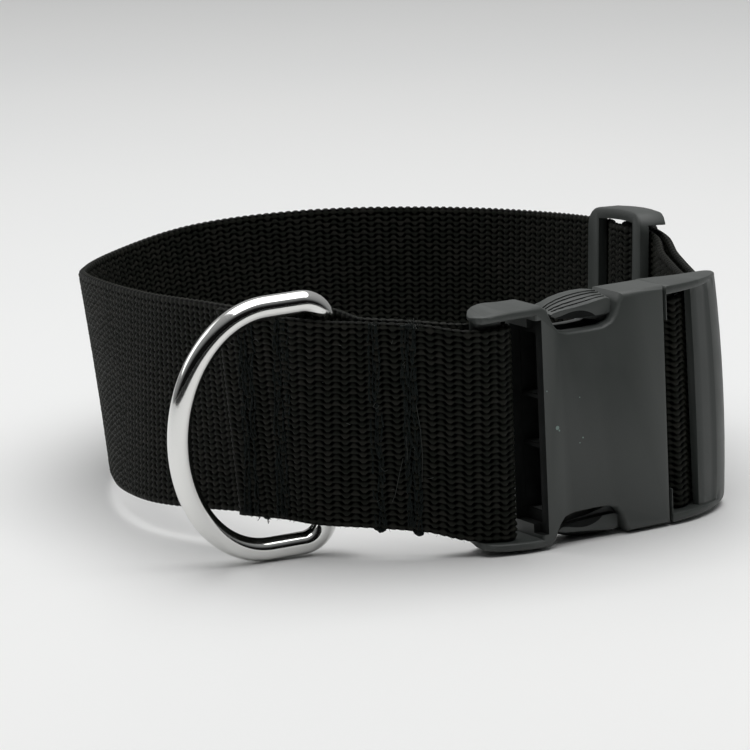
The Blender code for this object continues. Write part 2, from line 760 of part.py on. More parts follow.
def male_solid():
    half = BUCKLE_HEIGHT / 2
    start = F_BODY_END + SEAM_GAP
    exposed = M_LENGTH_END - start
    inner = BUCKLE_SLOT / 2
    root = inner + BAR_ROOT
    side = [(LOOP_LENGTH - start - a * exposed, o * BUCKLE_FRONT) for a, o in MALE_SIDE_TABLE]
    rails = []
    for sign in (1, -1):
        low, high = sorted((sign * inner, sign * half))
        rails.append(slab(side, low, high, 0.0007, 2, (0, 1, 2)))
    width = M_LENGTH_END - M_END_START
    section = [(LOOP_LENGTH - M_END_START - a * width, o * BUCKLE_FRONT) for a, o in END_BAR_TABLE]
    end_bar = slab(section, -root, root, 0.0, 0, (0, 1, 2))
    bar_at = LOOP_LENGTH - M_BAR_AT
    bar = stadium(bar_at, M_BAR_OFFSET, M_BAR_WIDTH, M_BAR_THICK, -root, root, BAR_SIDES)
    shoulders = []
    for sign in (1, -1):
        low, high = sorted((sign * M_SHOULDER_INNER / 2, sign * root))
        shoulders.append(
            box(
                LOOP_LENGTH - M_BASE_END - 0.0001,
                LOOP_LENGTH - start - 0.0001,
                BUCKLE_BACK * 0.9,
                BUCKLE_FRONT * 0.9,
                low,
                high,
            )
        )
    base = box(
        LOOP_LENGTH - M_BASE_END,
        LOOP_LENGTH - M_BASE_START,
        CAVITY_MIDDLE - M_BASE_DEPTH / 2,
        CAVITY_MIDDLE + M_BASE_DEPTH / 2,
        -M_BASE_HEIGHT / 2,
        M_BASE_HEIGHT / 2,
    )
    guide = box(
        LOOP_LENGTH - M_BASE_START - 0.0004,
        LOOP_LENGTH - M_GUIDE_START,
        CAVITY_MIDDLE - M_GUIDE_DEPTH / 2,
        CAVITY_MIDDLE + M_GUIDE_DEPTH / 2,
        -M_GUIDE_HEIGHT / 2,
        M_GUIDE_HEIGHT / 2,
    )
    parts = [end_bar, bar, base, guide] + shoulders + rails[1:]
    for sign in (1, -1):
        blade = []
        for back, top, low in BLADE_TABLE:
            blade.append((LOOP_LENGTH - back * M_BASE_START, sign * top * half))
        for back, top, low in reversed(BLADE_TABLE):
            blade.append((LOOP_LENGTH - back * M_BASE_START, sign * low * half))
        front = CAVITY_MIDDLE + M_BLADE_DEPTH / 2
        parts.append(slab(blade, front - M_BLADE_DEPTH, front, 0.0, 0, (0, 2, 1)))
        parts.append(leaf_solid(sign))
    joined = combine(rails[0], parts, "UNION")
    raise_all(crown(joined), BUCKLE_RISE)
    return bend_along_path(joined, BEND_STEP_TIGHT, LOOP_LENGTH - M_LENGTH_END, LOOP_LENGTH - start)


# Slider with a frame, two end bars and a raised middle bar
def slider_solid():
    half = S_HEIGHT / 2
    inner = S_SLOT / 2
    root = inner + BAR_ROOT
    s_end = S_START + S_LENGTH
    outline = []
    for cs, cv, first in (
        (s_end - S_CORNER, half - S_CORNER, 0),
        (S_START + S_CORNER, half - S_CORNER, 90),
        (S_START + S_CORNER, -half + S_CORNER, 180),
        (s_end - S_CORNER, -half + S_CORNER, 270),
    ):
        for i in range(S_CORNER_STEPS + 1):
            angle = math.radians(first + 90 * i / S_CORNER_STEPS)
            outline.append((cs + S_CORNER * math.cos(angle), cv + S_CORNER * math.sin(angle)))
    frame = slab(outline, S_INNER, S_OUTER, S_EDGE, 2, (0, 2, 1))
    past = S_CUT_PAST
    window = box(S_START + S_END_BAR, s_end - S_END_BAR, S_INNER - past, S_OUTER + past, -inner, inner)
    shelf = box(S_START - past, s_end + past, S_END_TOP, S_OUTER + CUT_PAST, -inner, inner)
    open_frame = combine(frame, [window, shelf], "DIFFERENCE")
    middle = S_START + S_LENGTH / 2
    bar = stadium(middle, S_BAR_OFFSET, S_BAR_WIDTH, S_BAR_THICK, -root, root, BAR_SIDES)
    whole = combine(open_frame, [bar], "UNION")
    for vert in whole.verts:
        vert.co.z += (vert.co.x - middle) * S_SHEAR
    return bend_along_path(whole, BEND_STEP_SLACK, S_START, s_end)


# D ring, its straight side along local Z and its bow towards local X
def ring_solid():
    radius = RING_WIRE / 2
    top = RING_INNER_HEIGHT / 2 + radius
    centre = []
    corner = top - RING_CORNER
    centre += [(0.0, 0.0, z) for z in (-corner * 0.5, 0.0, corner * 0.5)]
    for i in range(RING_CORNER_STEPS + 1):
        angle = math.pi - 0.5 * math.pi * i / RING_CORNER_STEPS
        centre.append((RING_CORNER + RING_CORNER * math.cos(angle), 0.0, corner + RING_CORNER * math.sin(angle)))
    reach = RING_DEPTH - RING_BOW_START
    for i in range(RING_ARC_STEPS + 1):
        angle = 0.5 * math.pi - math.pi * i / RING_ARC_STEPS
        centre.append((RING_BOW_START + reach * math.cos(angle), 0.0, top * math.sin(angle)))
    for i in range(RING_CORNER_STEPS + 1):
        angle = -0.5 * math.pi - 0.5 * math.pi * i / RING_CORNER_STEPS
        centre.append((RING_CORNER + RING_CORNER * math.cos(angle), 0.0, -corner + RING_CORNER * math.sin(angle)))
    line = np.array(centre)
    tangent = np.roll(line, -1, axis=0) - np.roll(line, 1, axis=0)
    tangent /= np.linalg.norm(tangent, axis=1)[:, None]
    side = np.array((0.0, 1.0, 0.0))
    rings = []
    for point, along in zip(line, tangent):
        other = np.cross(along, side)
        ring = []
        for k in range(RING_SIDES):
            angle = 2 * math.pi * (k + 0.5) / RING_SIDES
            ring.append(point + radius * (math.cos(angle) * side + math.sin(angle) * other))
        rings.append(ring)
    return grid_solid(rings, closed=True)


# Objects
webbing_black = material("webbing_black", (0.018, 0.019, 0.019), 0.85)
acetal_black = material("acetal_black", (0.032, 0.034, 0.033), 0.48)
chrome = material("chrome", (0.78, 0.78, 0.76), 0.12, 1.0)

strap = mesh_object("strap", strap_solid(), webbing_black)
female = mesh_object("buckle_female", female_solid(), acetal_black)
male = mesh_object("buckle_male", male_solid(), acetal_black)
slider = mesh_object("slider", slider_solid(), acetal_black)
ring = mesh_object("d_ring", ring_solid(), chrome)

# The ring hangs in its tunnel, turned outwards from the strap
tunnel_top = place_strap(RING_AT, RING_OUT, WEB_WIDTH / 2)
tunnel_low = place_strap(RING_AT, RING_OUT, -WEB_WIDTH / 2)
axis = Vector(tunnel_top - tunnel_low).normalized()
along_strap = Vector(place(RING_AT + 0.002, RING_OUT, 0.0) - place(RING_AT - 0.002, RING_OUT, 0.0))
outward = Vector(place(RING_AT, RING_OUT + 0.002, 0.0) - place(RING_AT, RING_OUT, 0.0))
along_strap = (along_strap - axis * along_strap.dot(axis)).normalized()
outward = (outward - axis * outward.dot(axis)).normalized()
swing = math.radians(RING_SWING)
ring_x = along_strap * math.cos(swing) + outward * math.sin(swing)
ring_y = axis.cross(ring_x)
ring_turn = Matrix((ring_x, ring_y, axis)).transposed()
ring_centre = Vector((tunnel_top + tunnel_low) / 2) - axis * RING_SAG

# Everything hangs from one empty, whose place puts the underside centre at the origin
collar = bpy.data.objects.new("collar", None)
bpy.context.scene.collection.objects.link(collar)
ring.rotation_euler = ring_turn.to_euler()
ring.location = ring_centre
for obj in (strap, female, male, slider, ring):
    obj.parent = collar
bpy.context.view_layer.update()
corners = []
for obj in (strap, female, male, slider, ring):
    for vert in obj.data.vertices:
        corners.append(obj.matrix_world @ vert.co)
low = Vector([min(c[i] for c in corners) for i in range(3)])
high = Vector([max(c[i] for c in corners) for i in range(3)])
collar.location = (-(low.x + high.x) / 2, -(low.y + high.y) / 2, -low.z)
bpy.context.view_layer.update()
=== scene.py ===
# Looks of the webbing pet collar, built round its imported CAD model.
# Lengths are in metres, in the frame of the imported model.
import math

import bmesh
import bpy
import numpy as np
from mathutils import Matrix, Vector
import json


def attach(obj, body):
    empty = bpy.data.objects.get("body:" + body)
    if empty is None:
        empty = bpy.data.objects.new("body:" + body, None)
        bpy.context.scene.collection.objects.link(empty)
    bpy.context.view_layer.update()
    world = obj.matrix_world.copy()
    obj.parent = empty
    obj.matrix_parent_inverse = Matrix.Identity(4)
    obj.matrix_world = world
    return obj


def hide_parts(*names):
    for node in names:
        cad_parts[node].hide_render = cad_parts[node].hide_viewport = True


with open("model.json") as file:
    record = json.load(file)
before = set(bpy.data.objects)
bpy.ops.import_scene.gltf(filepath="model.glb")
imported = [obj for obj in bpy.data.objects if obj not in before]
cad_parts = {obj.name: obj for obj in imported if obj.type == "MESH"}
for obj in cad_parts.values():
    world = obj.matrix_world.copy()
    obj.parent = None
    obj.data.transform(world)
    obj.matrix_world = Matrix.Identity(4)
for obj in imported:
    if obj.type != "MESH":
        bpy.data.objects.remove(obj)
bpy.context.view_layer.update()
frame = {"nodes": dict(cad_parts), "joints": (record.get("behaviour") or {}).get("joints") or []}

# Webbing and the closed path that it follows, the same values as in the CAD source
WEB_WIDTH = 0.0500
WEB_THICK = 0.0022
PLY_GAP = 0.0003
LOOP_LENGTH = 0.4975
START_HEADING = 201.26
PATH_STEPS = 1990
# share of the loop length, turn in radians over one webbing width, outward tilt in degrees,
# and height of the strap's middle as a share of its width
LOOP_TABLE = (
    (0.0101, 1.203, 5.0, 0.576),
    (0.0322, 0.917, 7.4, 0.620),
    (0.0683, 0.807, 8.0, 0.646),
    (0.1085, 0.688, 7.4, 0.660),
    (0.1487, 0.574, 1.7, 0.651),
    (0.1889, 0.474, -2.6, 0.625),
    (0.2251, 0.415, -1.3, 0.604),
    (0.2573, 0.408, 2.5, 0.587),
    (0.2894, 0.448, 5.7, 0.559),
    (0.3256, 0.529, 7.9, 0.516),
    (0.3819, 0.671, 7.7, 0.495),
    (0.4422, 0.824, 6.8, 0.517),
    (0.5025, 0.847, 5.4, 0.520),
    (0.5628, 0.848, 4.5, 0.520),
    (0.6231, 0.710, 3.6, 0.540),
    (0.6834, 0.195, 2.6, 0.579),
    (0.7286, 0.535, 2.2, 0.604),
    (0.7588, 0.499, 2.0, 0.594),
    (0.7879, -0.298, 1.0, 0.560),
    (0.8261, -0.060, -0.4, 0.556),
    (0.8472, 1.805, -1.2, 0.556),
    (0.8955, 2.119, -1.2, 0.556),
    (0.9095, 0.000, -0.6, 0.556),
    (0.9799, 0.000, -0.6, 0.556),
    (0.9899, 1.121, 0.6, 0.560),
)

# D ring and its tunnel
RING_WIRE = 0.0054
RING_INNER_HEIGHT = 0.0536
RING_DEPTH = 0.0353
RING_BOW_START = 0.0139
RING_CORNER = 0.0058
RING_AT = 0.0384
RING_SLANT = 0.085
RING_SLANT_REACH = 0.0185
RING_SAG = 0.0007
TUNNEL_CLEARANCE = 0.00035
TUNNEL_REACH = 0.0112
TUNNEL_FRONT_RISE = 0.0009

# Hardware that the strap runs past: F for the female half, M for the male half, S for the slider
SEWN_END = 0.0620
SINGLE_FROM = 0.0660
SINGLE_UNTIL = 0.0960
F_BAR_WIDTH = 0.0080
F_BAR_THICK = 0.0032
BUCKLE_HEIGHT = 0.0563
BUCKLE_RISE = 0.00065
M_BAR_AT = 0.0518
M_BAR_WIDTH = 0.0036
M_BAR_THICK = 0.0030
M_BAR_OFFSET = -0.0018
M_END_START = 0.0556
M_LENGTH_END = 0.0722
M_END_BACK = 0.0008
S_START = 0.3435
S_LENGTH = 0.0315
S_END_BAR = 0.0058
S_END_TOP = -0.0014
S_BAR_WIDTH = 0.0060
S_BAR_THICK = 0.0024
S_BAR_OFFSET = 0.0021
TAIL_END = 0.0195

# Where the strap eases towards each bar: lengths on each side of the hardware
F_EASE_FROM = 0.0150
F_EASE_TO = 0.0034
S_EASE_FROM = 0.0120
S_EASE_TO = 0.0020
S_DIP_FROM = 0.0008
S_DIP_TO = 0.0012
S_RISE_FROM = 0.0002
S_RISE_TO = 0.0006
S_LEAVE = 0.0010
S_TO_M = 0.0160
S_TO_M_OUTER = 0.0150
S_TO_M_INNER_OFFSET = -0.0014
S_TO_M_OUTER_OFFSET = 0.0018
M_EASE_FROM = 0.0050
M_EASE_TO = 0.0010
M_WRAP_FROM = 0.0010
M_OUTER_FROM = 0.0006
M_ROOM = 0.0005
M_PLY_ROOM = 0.0001
TAIL_ROOM = 0.0002

# Steps of the strap's run, finer than in the CAD source
RUN_STEP = 0.0006
RUN_STEP_LEAST = 1e-7
TURN_STEPS = 36
TUNNEL_STEPS = 40
NORMAL_REACH = 0.0007

# Weave: rows lie side by side across the webbing, picks follow along it, each split in steps
ROWS = 34
ROW_STEPS = 3
PICK = 0.00193
PICK_STEPS = 3
PICK_TOLERANCE = 0.001
# How far a float swings across the webbing, and how deep the gaps between floats are
ROW_SWAY = 0.00042
WEAVE_DEPTH = 0.00070
DIVE_DEPTH = 0.00046
# Power that rounds a float's section, share of depth lost at its middle, least share of a dive
FLOAT_SHAPE = 0.6
MIDDLE_EASE = 0.25
DIVE_LEAST = 0.4
# Rows over which the swing and the relief fade towards each selvedge
SWAY_FADE_ROWS = 1.5
RELIEF_FADE_ROWS = 0.6
SELVEDGE_INSET = 0.0002
SELVEDGE_THIN = 0.00042
SELVEDGE_BULGE = 0.00045
# Uneven yarn: spread across the webbing and in depth
SWAY_SPREAD = 0.00004
RELIEF_SPREAD = 0.00003
WEAVE_SEED = 5
# The rear face counts its rows from here, so that its grain differs from the front's
REAR_FIRST_ROW = 60.0
# Lengths of webbing at which the visual model cuts the strap in three
WEBBING_CUTS = (0.130, 0.422)

# Camera, fitted to the photograph
CAMERA_SPOT = (-0.004777, -1.029950, 0.252151)
CAMERA_PITCH = 0.21636
CAMERA_ROLL = 0.04019
CAMERA_FOCAL_PX = 4301.08
IMAGE_WIDTH = 750
SENSOR = 36.0
CLIP_NEAR = 0.05
CLIP_FAR = 20.0

# Studio
WORLD_STRENGTH = 0.46
TOP_POWER = 9.3
LEFT_POWER = 3.0
FLOOR_REACH = 4.0
# The dark card: how far it goes to each side, its far and near edge, and its height
CARD_SIDE = 2.0
CARD_FAR = -2.2
CARD_EDGE = -0.27
CARD_HEIGHT = 0.002

# Sockets of a colour mix node
MIX_FACTOR = 0
MIX_FIRST = 6
MIX_SECOND = 7
MIX_COLOUR = 2

HALF = WEB_THICK / 2
PLY = PLY_GAP / 2 + HALF
PITCH = WEB_THICK + PLY_GAP
FACE = PLY + HALF


# Path of the collar
def periodic_line(x, xp, fp, period):
    xs = np.concatenate(([xp[-1] - period], xp, [xp[0] + period]))
    fs = np.concatenate(([fp[-1]], fp, [fp[0]]))
    return np.interp(x, xs, fs)


def periodic_curve(x, xp, fp, period):
    xs = np.concatenate((xp[-2:] - period, xp, xp[:2] + period))
    fs = np.concatenate((fp[-2:], fp, fp[:2]))
    slopes = np.zeros_like(fs)
    slopes[1:-1] = (fs[2:] - fs[:-2]) / (xs[2:] - xs[:-2])
    j = np.clip(np.searchsorted(xs, x, side="right") - 1, 1, len(xs) - 3)
    h = xs[j + 1] - xs[j]
    t = (x - xs[j]) / h
    first = (2 * t**3 - 3 * t**2 + 1) * fs[j] + (t**3 - 2 * t**2 + t) * h * slopes[j]
    second = (3 * t**2 - 2 * t**3) * fs[j + 1] + (t**3 - t**2) * h * slopes[j + 1]
    return first + second


def running_sum(values, step):
    return np.concatenate(([0.0], np.cumsum(0.5 * (values[1:] + values[:-1]) * step)))


def loop_path():
    at, bend, lean, height = np.array(LOOP_TABLE).T
    at = at * LOOP_LENGTH
    s = np.linspace(0.0, LOOP_LENGTH, PATH_STEPS + 1)
    step = s[1]
    bend = periodic_line(s, at, bend, LOOP_LENGTH) / WEB_WIDTH
    turned = running_sum(bend, step)
    turned *= 2 * math.pi / turned[-1]
    heading = math.radians(START_HEADING) - turned
    x = running_sum(np.cos(heading), step)
    y = running_sum(np.sin(heading), step)
    share = s / LOOP_LENGTH
    x -= x[-1] * share
    y -= y[-1] * share
    lean = periodic_curve(s, at, lean, LOOP_LENGTH)
    height = periodic_curve(s, at, height, LOOP_LENGTH)
    return s, x, y, heading, np.radians(lean), height * WEB_WIDTH


PATH = loop_path()
SHIFT = np.zeros(3)


def place(s, out, up):
    # Point at a length s along the path, out from the neck and up across the strap
    s = np.mod(np.asarray(s, dtype=float), LOOP_LENGTH)
    out = np.asarray(out, dtype=float)
    up = np.asarray(up, dtype=float)
    px, py, heading, lean, pz = [np.interp(s, PATH[0], column) for column in PATH[1:]]
    nx = -np.sin(heading)
    ny = np.cos(heading)
    across = out * np.cos(lean) + up * np.sin(lean)
    z = pz - out * np.sin(lean) + up * np.cos(lean)
    return np.stack((px + nx * across, py + ny * across, z), axis=-1) + SHIFT


def ring_window(s):
    distance = np.abs(np.asarray(s, dtype=float) - RING_AT) / RING_SLANT_REACH
    return np.where(distance < 1.0, np.cos(0.5 * math.pi * np.clip(distance, 0, 1)) ** 2, 0.0)


def place_strap(s, out, up):
    # The cross threads lean a little where the ring pulls on them
    s = np.asarray(s, dtype=float)
    return place(s - RING_SLANT * np.asarray(up) * ring_window(s), out, up)


RING_FRONT = PLY + TUNNEL_FRONT_RISE
RING_OUT = RING_FRONT - HALF - TUNNEL_CLEARANCE - RING_WIRE / 2
RING_BACK = RING_OUT - RING_WIRE / 2 - TUNNEL_CLEARANCE - HALF

# The ring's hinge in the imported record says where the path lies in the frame
HINGE = frame["joints"][0]
tunnel_top = place_strap(RING_AT, RING_OUT, WEB_WIDTH / 2)
tunnel_low = place_strap(RING_AT, RING_OUT, -WEB_WIDTH / 2)
RING_AXIS = Vector(tunnel_top - tunnel_low).normalized()
tunnel_middle = np.array((tunnel_top + tunnel_low) / 2) - np.array(RING_AXIS) * RING_SAG
SHIFT = np.array(HINGE["pos_m"]) - tunnel_middle


# Material helpers
def new_material(name, colour, roughness, metallic=0.0, specular=0.5):
    mat = bpy.data.materials.new(name)
    mat.use_nodes = True
    shader = mat.node_tree.nodes["Principled BSDF"]
    shader.inputs["Base Color"].default_value = (*colour, 1.0)
    shader.inputs["Roughness"].default_value = roughness
    shader.inputs["Metallic"].default_value = metallic
    shader.inputs["Specular IOR Level"].default_value = specular
    return mat, mat.node_tree, shader


def add_node(tree, kind, **values):
    node = tree.nodes.new(kind)
    for key, value in values.items():
        if key in node.inputs:
            node.inputs[key].default_value = value
        else:
            setattr(node, key, value)
    return node


def ramp(tree, source, stops):
    node = tree.nodes.new("ShaderNodeValToRGB")
    elements = node.color_ramp.elements
    for index, (position, colour) in enumerate(stops):
        element = elements[index] if index < 2 else elements.new(position)
        element.position = position
        element.color = (*colour, 1.0)
    tree.links.new(source, node.inputs["Fac"])
    return node.outputs["Color"]


def vary(tree, source, low, high, socket):
    # Most noise lies between 0.3 and 0.7, and takes the socket from one value to the other
    tree.links.new(ramp(tree, source, ((0.3, low), (0.7, high))), socket)


def vector_node(tree, operation, source, factor=None):
    node = tree.nodes.new("ShaderNodeVectorMath")
    node.operation = operation
    if factor is not None:
        node.inputs[1].default_value = factor
    tree.links.new(source, node.inputs[0])
    return node.outputs["Vector"]


def object_place(tree):
    return add_node(tree, "ShaderNodeTexCoord").outputs["Object"]


def noise(tree, where, **values):
    node = add_node(tree, "ShaderNodeTexNoise", **values)
    tree.links.new(where, node.inputs["Vector"])
    return node.outputs["Fac"]


def grey(value):
    return (value, value, value)


def calc(tree, operation, a, b=0.0):
    node = tree.nodes.new("ShaderNodeMath")
    node.operation = operation
    for index, value in enumerate((a, b)):
        if isinstance(value, (int, float)):
            node.inputs[index].default_value = value
        else:
            tree.links.new(value, node.inputs[index])
    return node.outputs["Value"]


def bump(tree, shader, height, strength, distance):
    node = tree.nodes.new("ShaderNodeBump")
    node.inputs["Strength"].default_value = strength
    node.inputs["Distance"].default_value = distance
    tree.links.new(height, node.inputs["Height"])
    tree.links.new(node.outputs["Normal"], shader.inputs["Normal"])


# Materials
def webbing_material():
    mat, tree, shader = new_material("webbing_weave", (0.0040, 0.0042, 0.0036), 0.5, specular=0.10)
    uv = add_node(tree, "ShaderNodeUVMap", uv_map="weave").outputs["UV"]
    # One grain for each float: u counts picks and v counts rows
    cell = add_node(tree, "ShaderNodeTexWhiteNoise", noise_dimensions="2D")
    tree.links.new(vector_node(tree, "FLOOR", uv), cell.inputs["Vector"])
    wide = noise(tree, vector_node(tree, "MULTIPLY", uv, (0.045, 0.09, 1.0)), Scale=1.0, Detail=3.0)
    grain = calc(tree, "MULTIPLY", cell.outputs["Value"], 0.45)
    grain = calc(tree, "ADD", grain, calc(tree, "MULTIPLY", wide, 0.55))
    yarn = ramp(
        tree,
        grain,
        (
            (0.15, (0.0062, 0.0078, 0.0052)),
            (0.50, (0.0115, 0.0126, 0.0095)),
            (0.85, (0.0200, 0.0194, 0.0158)),
        ),
    )
    # Painted shade: the gaps between floats are painted almost black as if in shadow, widest where two
    # picks meet; the same mask dims the specular there
    axes = tree.nodes.new("ShaderNodeSeparateXYZ")
    tree.links.new(vector_node(tree, "FRACTION", uv), axes.inputs["Vector"])
    off_row = calc(tree, "ABSOLUTE", calc(tree, "SUBTRACT", axes.outputs["Y"], 0.5))
    off_pick = calc(tree, "ABSOLUTE", calc(tree, "SUBTRACT", axes.outputs["X"], 0.5))
    between = calc(tree, "POWER", calc(tree, "MULTIPLY", off_row, 2.0), 2.2)
    meeting = calc(tree, "POWER", calc(tree, "MULTIPLY", off_pick, 2.0), 2.5)
    weight = calc(tree, "ADD", calc(tree, "MULTIPLY", meeting, 1.5), 0.42)
    gap = calc(tree, "MULTIPLY", between, weight)
    gap = calc(tree, "ADD", gap, calc(tree, "MULTIPLY", meeting, 0.16))
    lit = ramp(tree, gap, ((0.05, grey(1.0)), (0.32, grey(0.38)), (0.62, grey(0.0))))
    tree.links.new(lit, shader.inputs["Specular Tint"])
    shade = add_node(tree, "ShaderNodeMix", data_type="RGBA", blend_type="MULTIPLY")
    shade.inputs[MIX_FACTOR].default_value = 1.0
    tree.links.new(yarn, shade.inputs[MIX_FIRST])
    tree.links.new(lit, shade.inputs[MIX_SECOND])
    tree.links.new(shade.outputs[MIX_COLOUR], shader.inputs["Base Color"])
    # Filaments run along each float
    along = vector_node(tree, "MULTIPLY", uv, (0.9, 7.0, 1.0))
    fine = noise(tree, along, Scale=1.0, Detail=2.0, Roughness=0.6)
    vary(tree, fine, grey(0.40), grey(0.62), shader.inputs["Roughness"])
    bump(tree, shader, fine, 0.6, 0.00016)
    return mat


def thread_material(name, low, high):
    mat, tree, shader = new_material(name, high, 0.6, specular=0.12)
    shader.inputs["Sheen Weight"].default_value = 0.01
    where = vector_node(tree, "MULTIPLY", object_place(tree), (2600.0, 2600.0, 900.0))
    twist = noise(tree, where, Scale=1.0, Detail=3.0)
    vary(tree, twist, low, high, shader.inputs["Base Color"])
    bump(tree, shader, twist, 0.5, 0.0001)
    return mat


def acetal_material():
    mat, tree, shader = new_material("acetal_texture", (0.026, 0.028, 0.027), 0.5)
    where = object_place(tree)
    fine = noise(tree, where, Scale=2400.0, Detail=2.0, Roughness=0.6)
    cloud = noise(tree, where, Scale=95.0, Detail=4.0, Roughness=0.65)
    # Rims are painted a little lighter than the faces
    edge = add_node(tree, "ShaderNodeNewGeometry").outputs["Pointiness"]
    rim = ramp(tree, edge, ((0.50, grey(0.0)), (0.60, grey(1.0))))
    mix = add_node(tree, "ShaderNodeMix", data_type="RGBA")
    tree.links.new(calc(tree, "MULTIPLY", rim, 0.55), mix.inputs[MIX_FACTOR])
    vary(tree, cloud, (0.029, 0.0340, 0.0315), (0.038, 0.0435, 0.0405), mix.inputs[MIX_FIRST])
    mix.inputs[MIX_SECOND].default_value = (0.068, 0.074, 0.070, 1.0)
    tree.links.new(mix.outputs[MIX_COLOUR], shader.inputs["Base Color"])
    vary(tree, cloud, grey(0.44), grey(0.56), shader.inputs["Roughness"])
    bump(tree, shader, fine, 0.30, 0.00006)
    return mat


def painted_shade_material():
    # Painted shade: a darker copy of the same plastic for the slot's inner walls, the prongs' grooves and
    # the scoops, nearly black as if in shadow
    mat, tree, shader = new_material("acetal_painted_shade", (0.007, 0.008, 0.0075), 0.7, specular=0.12)
    cloud = noise(tree, object_place(tree), Scale=300.0, Detail=3.0)
    vary(tree, cloud, (0.005, 0.006, 0.0055), (0.011, 0.0125, 0.012), shader.inputs["Base Color"])
    return mat


def chrome_material():
    mat, tree, shader = new_material("chrome_plate", (0.74, 0.74, 0.725), 0.10, 1.0)
    where = object_place(tree)
    scuff = noise(tree, where, Scale=900.0, Detail=5.0, Roughness=0.7)
    patch = noise(tree, where, Scale=140.0, Detail=3.0)
    worn = calc(tree, "MULTIPLY", scuff, patch)
    rough = ramp(tree, worn, ((0.26, grey(0.09)), (0.40, grey(0.20))))
    tree.links.new(rough, shader.inputs["Roughness"])
    bump(tree, shader, patch, 0.06, 0.0004)
    return mat


def floor_material():
    mat, tree, shader = new_material("pale_floor", (0.86, 0.86, 0.86), 0.55, specular=0.25)
    soft = noise(tree, object_place(tree), Scale=3.0, Detail=2.0)
    vary(tree, soft, (0.845, 0.85, 0.85), (0.87, 0.87, 0.865), shader.inputs["Base Color"])
    return mat


# Mesh helpers
def new_object(name, data):
    obj = bpy.data.objects.new(name, data)
    bpy.context.scene.collection.objects.link(obj)
    return obj


def mesh_piece(name, points, faces, mat, body):
    mesh = bpy.data.meshes.new(name)
    mesh.from_pydata([tuple(p) for p in points], [], faces)
    mesh.update()
    mesh.polygons.foreach_set("use_smooth", [True] * len(mesh.polygons))
    mesh.materials.append(mat)
    obj = new_object(name, mesh)
    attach(obj, body)
    return obj


def face_outwards(obj):
    bm = bmesh.new()
    bm.from_mesh(obj.data)
    bmesh.ops.recalc_face_normals(bm, faces=bm.faces[:])
    bm.to_mesh(obj.data)
    bm.free()
    return obj


# No thread runs along this direction, so it sets where a tube's sides begin
TUBE_GUIDE = np.array((0.31, 0.52, 0.79))
NEVER_ZERO = 1e-12
THREAD_SIDES = 5


class Threads:
    """Round threads of one piece, each a tube along a line, kept off the floor."""

    def __init__(self):
        self.points = []
        self.faces = []

    def add(self, line, radii, sides=THREAD_SIDES):
        line = np.array(line, dtype=float)
        radii = np.broadcast_to(np.asarray(radii, dtype=float), (len(line),))
        line[:, 2] = np.maximum(line[:, 2], radii)
        tangent = np.gradient(line, axis=0)
        tangent /= np.linalg.norm(tangent, axis=1)[:, None] + NEVER_ZERO
        side = np.cross(tangent, TUBE_GUIDE)
        side /= np.linalg.norm(side, axis=1)[:, None] + NEVER_ZERO
        other = np.cross(tangent, side)
        first = len(self.points)
        for centre, u, v, radius in zip(line, side, other, radii):
            for k in range(sides):
                angle = 2 * math.pi * k / sides
                self.points.append(centre + radius * (math.cos(angle) * u + math.sin(angle) * v))
        for i in range(len(line) - 1):
            for k in range(sides):
                a = first + i * sides + k
                b = first + i * sides + (k + 1) % sides
                self.faces.append((a, b, b + sides, a + sides))
        last = first + (len(line) - 1) * sides
        self.faces.append(tuple(first + k for k in reversed(range(sides))))
        self.faces.append(tuple(last + k for k in range(sides)))

    def piece(self, name, mat):
        return mesh_piece(name, self.points, self.faces, mat, "collar")


# Run of the webbing, as points of length along the path and distance out of it
def ease(t):
    t = min(max(t, 0.0), 1.0)
    return t * t * (3 - 2 * t)


def lay(knots, step):
    points = []
    for (s0, o0), (s1, o1) in zip(knots, knots[1:]):
        count = max(1, int(math.ceil(abs(s1 - s0) / step)))
        for i in range(count):
            t = i / count
            points.append((s0 + (s1 - s0) * t, o0 + (o1 - o0) * ease(t)))
    return points


def turn(centre, radius, start, end):
    points = []
    for i in range(TURN_STEPS + 1):
        angle = math.radians(start + (end - start) * i / TURN_STEPS)
        points.append((centre[0] + radius * math.cos(angle), centre[1] + radius * math.sin(angle)))
    return points


def tunnel(side):
    peak = RING_FRONT if side > 0 else RING_BACK
    base = PLY * side
    points = []
    for i in range(TUNNEL_STEPS + 1):
        t = -1 + 2 * i / TUNNEL_STEPS
        offset = base + (peak - base) * math.cos(0.5 * math.pi * t) ** 2
        points.append((RING_AT - t * TUNNEL_REACH, offset))
    return points


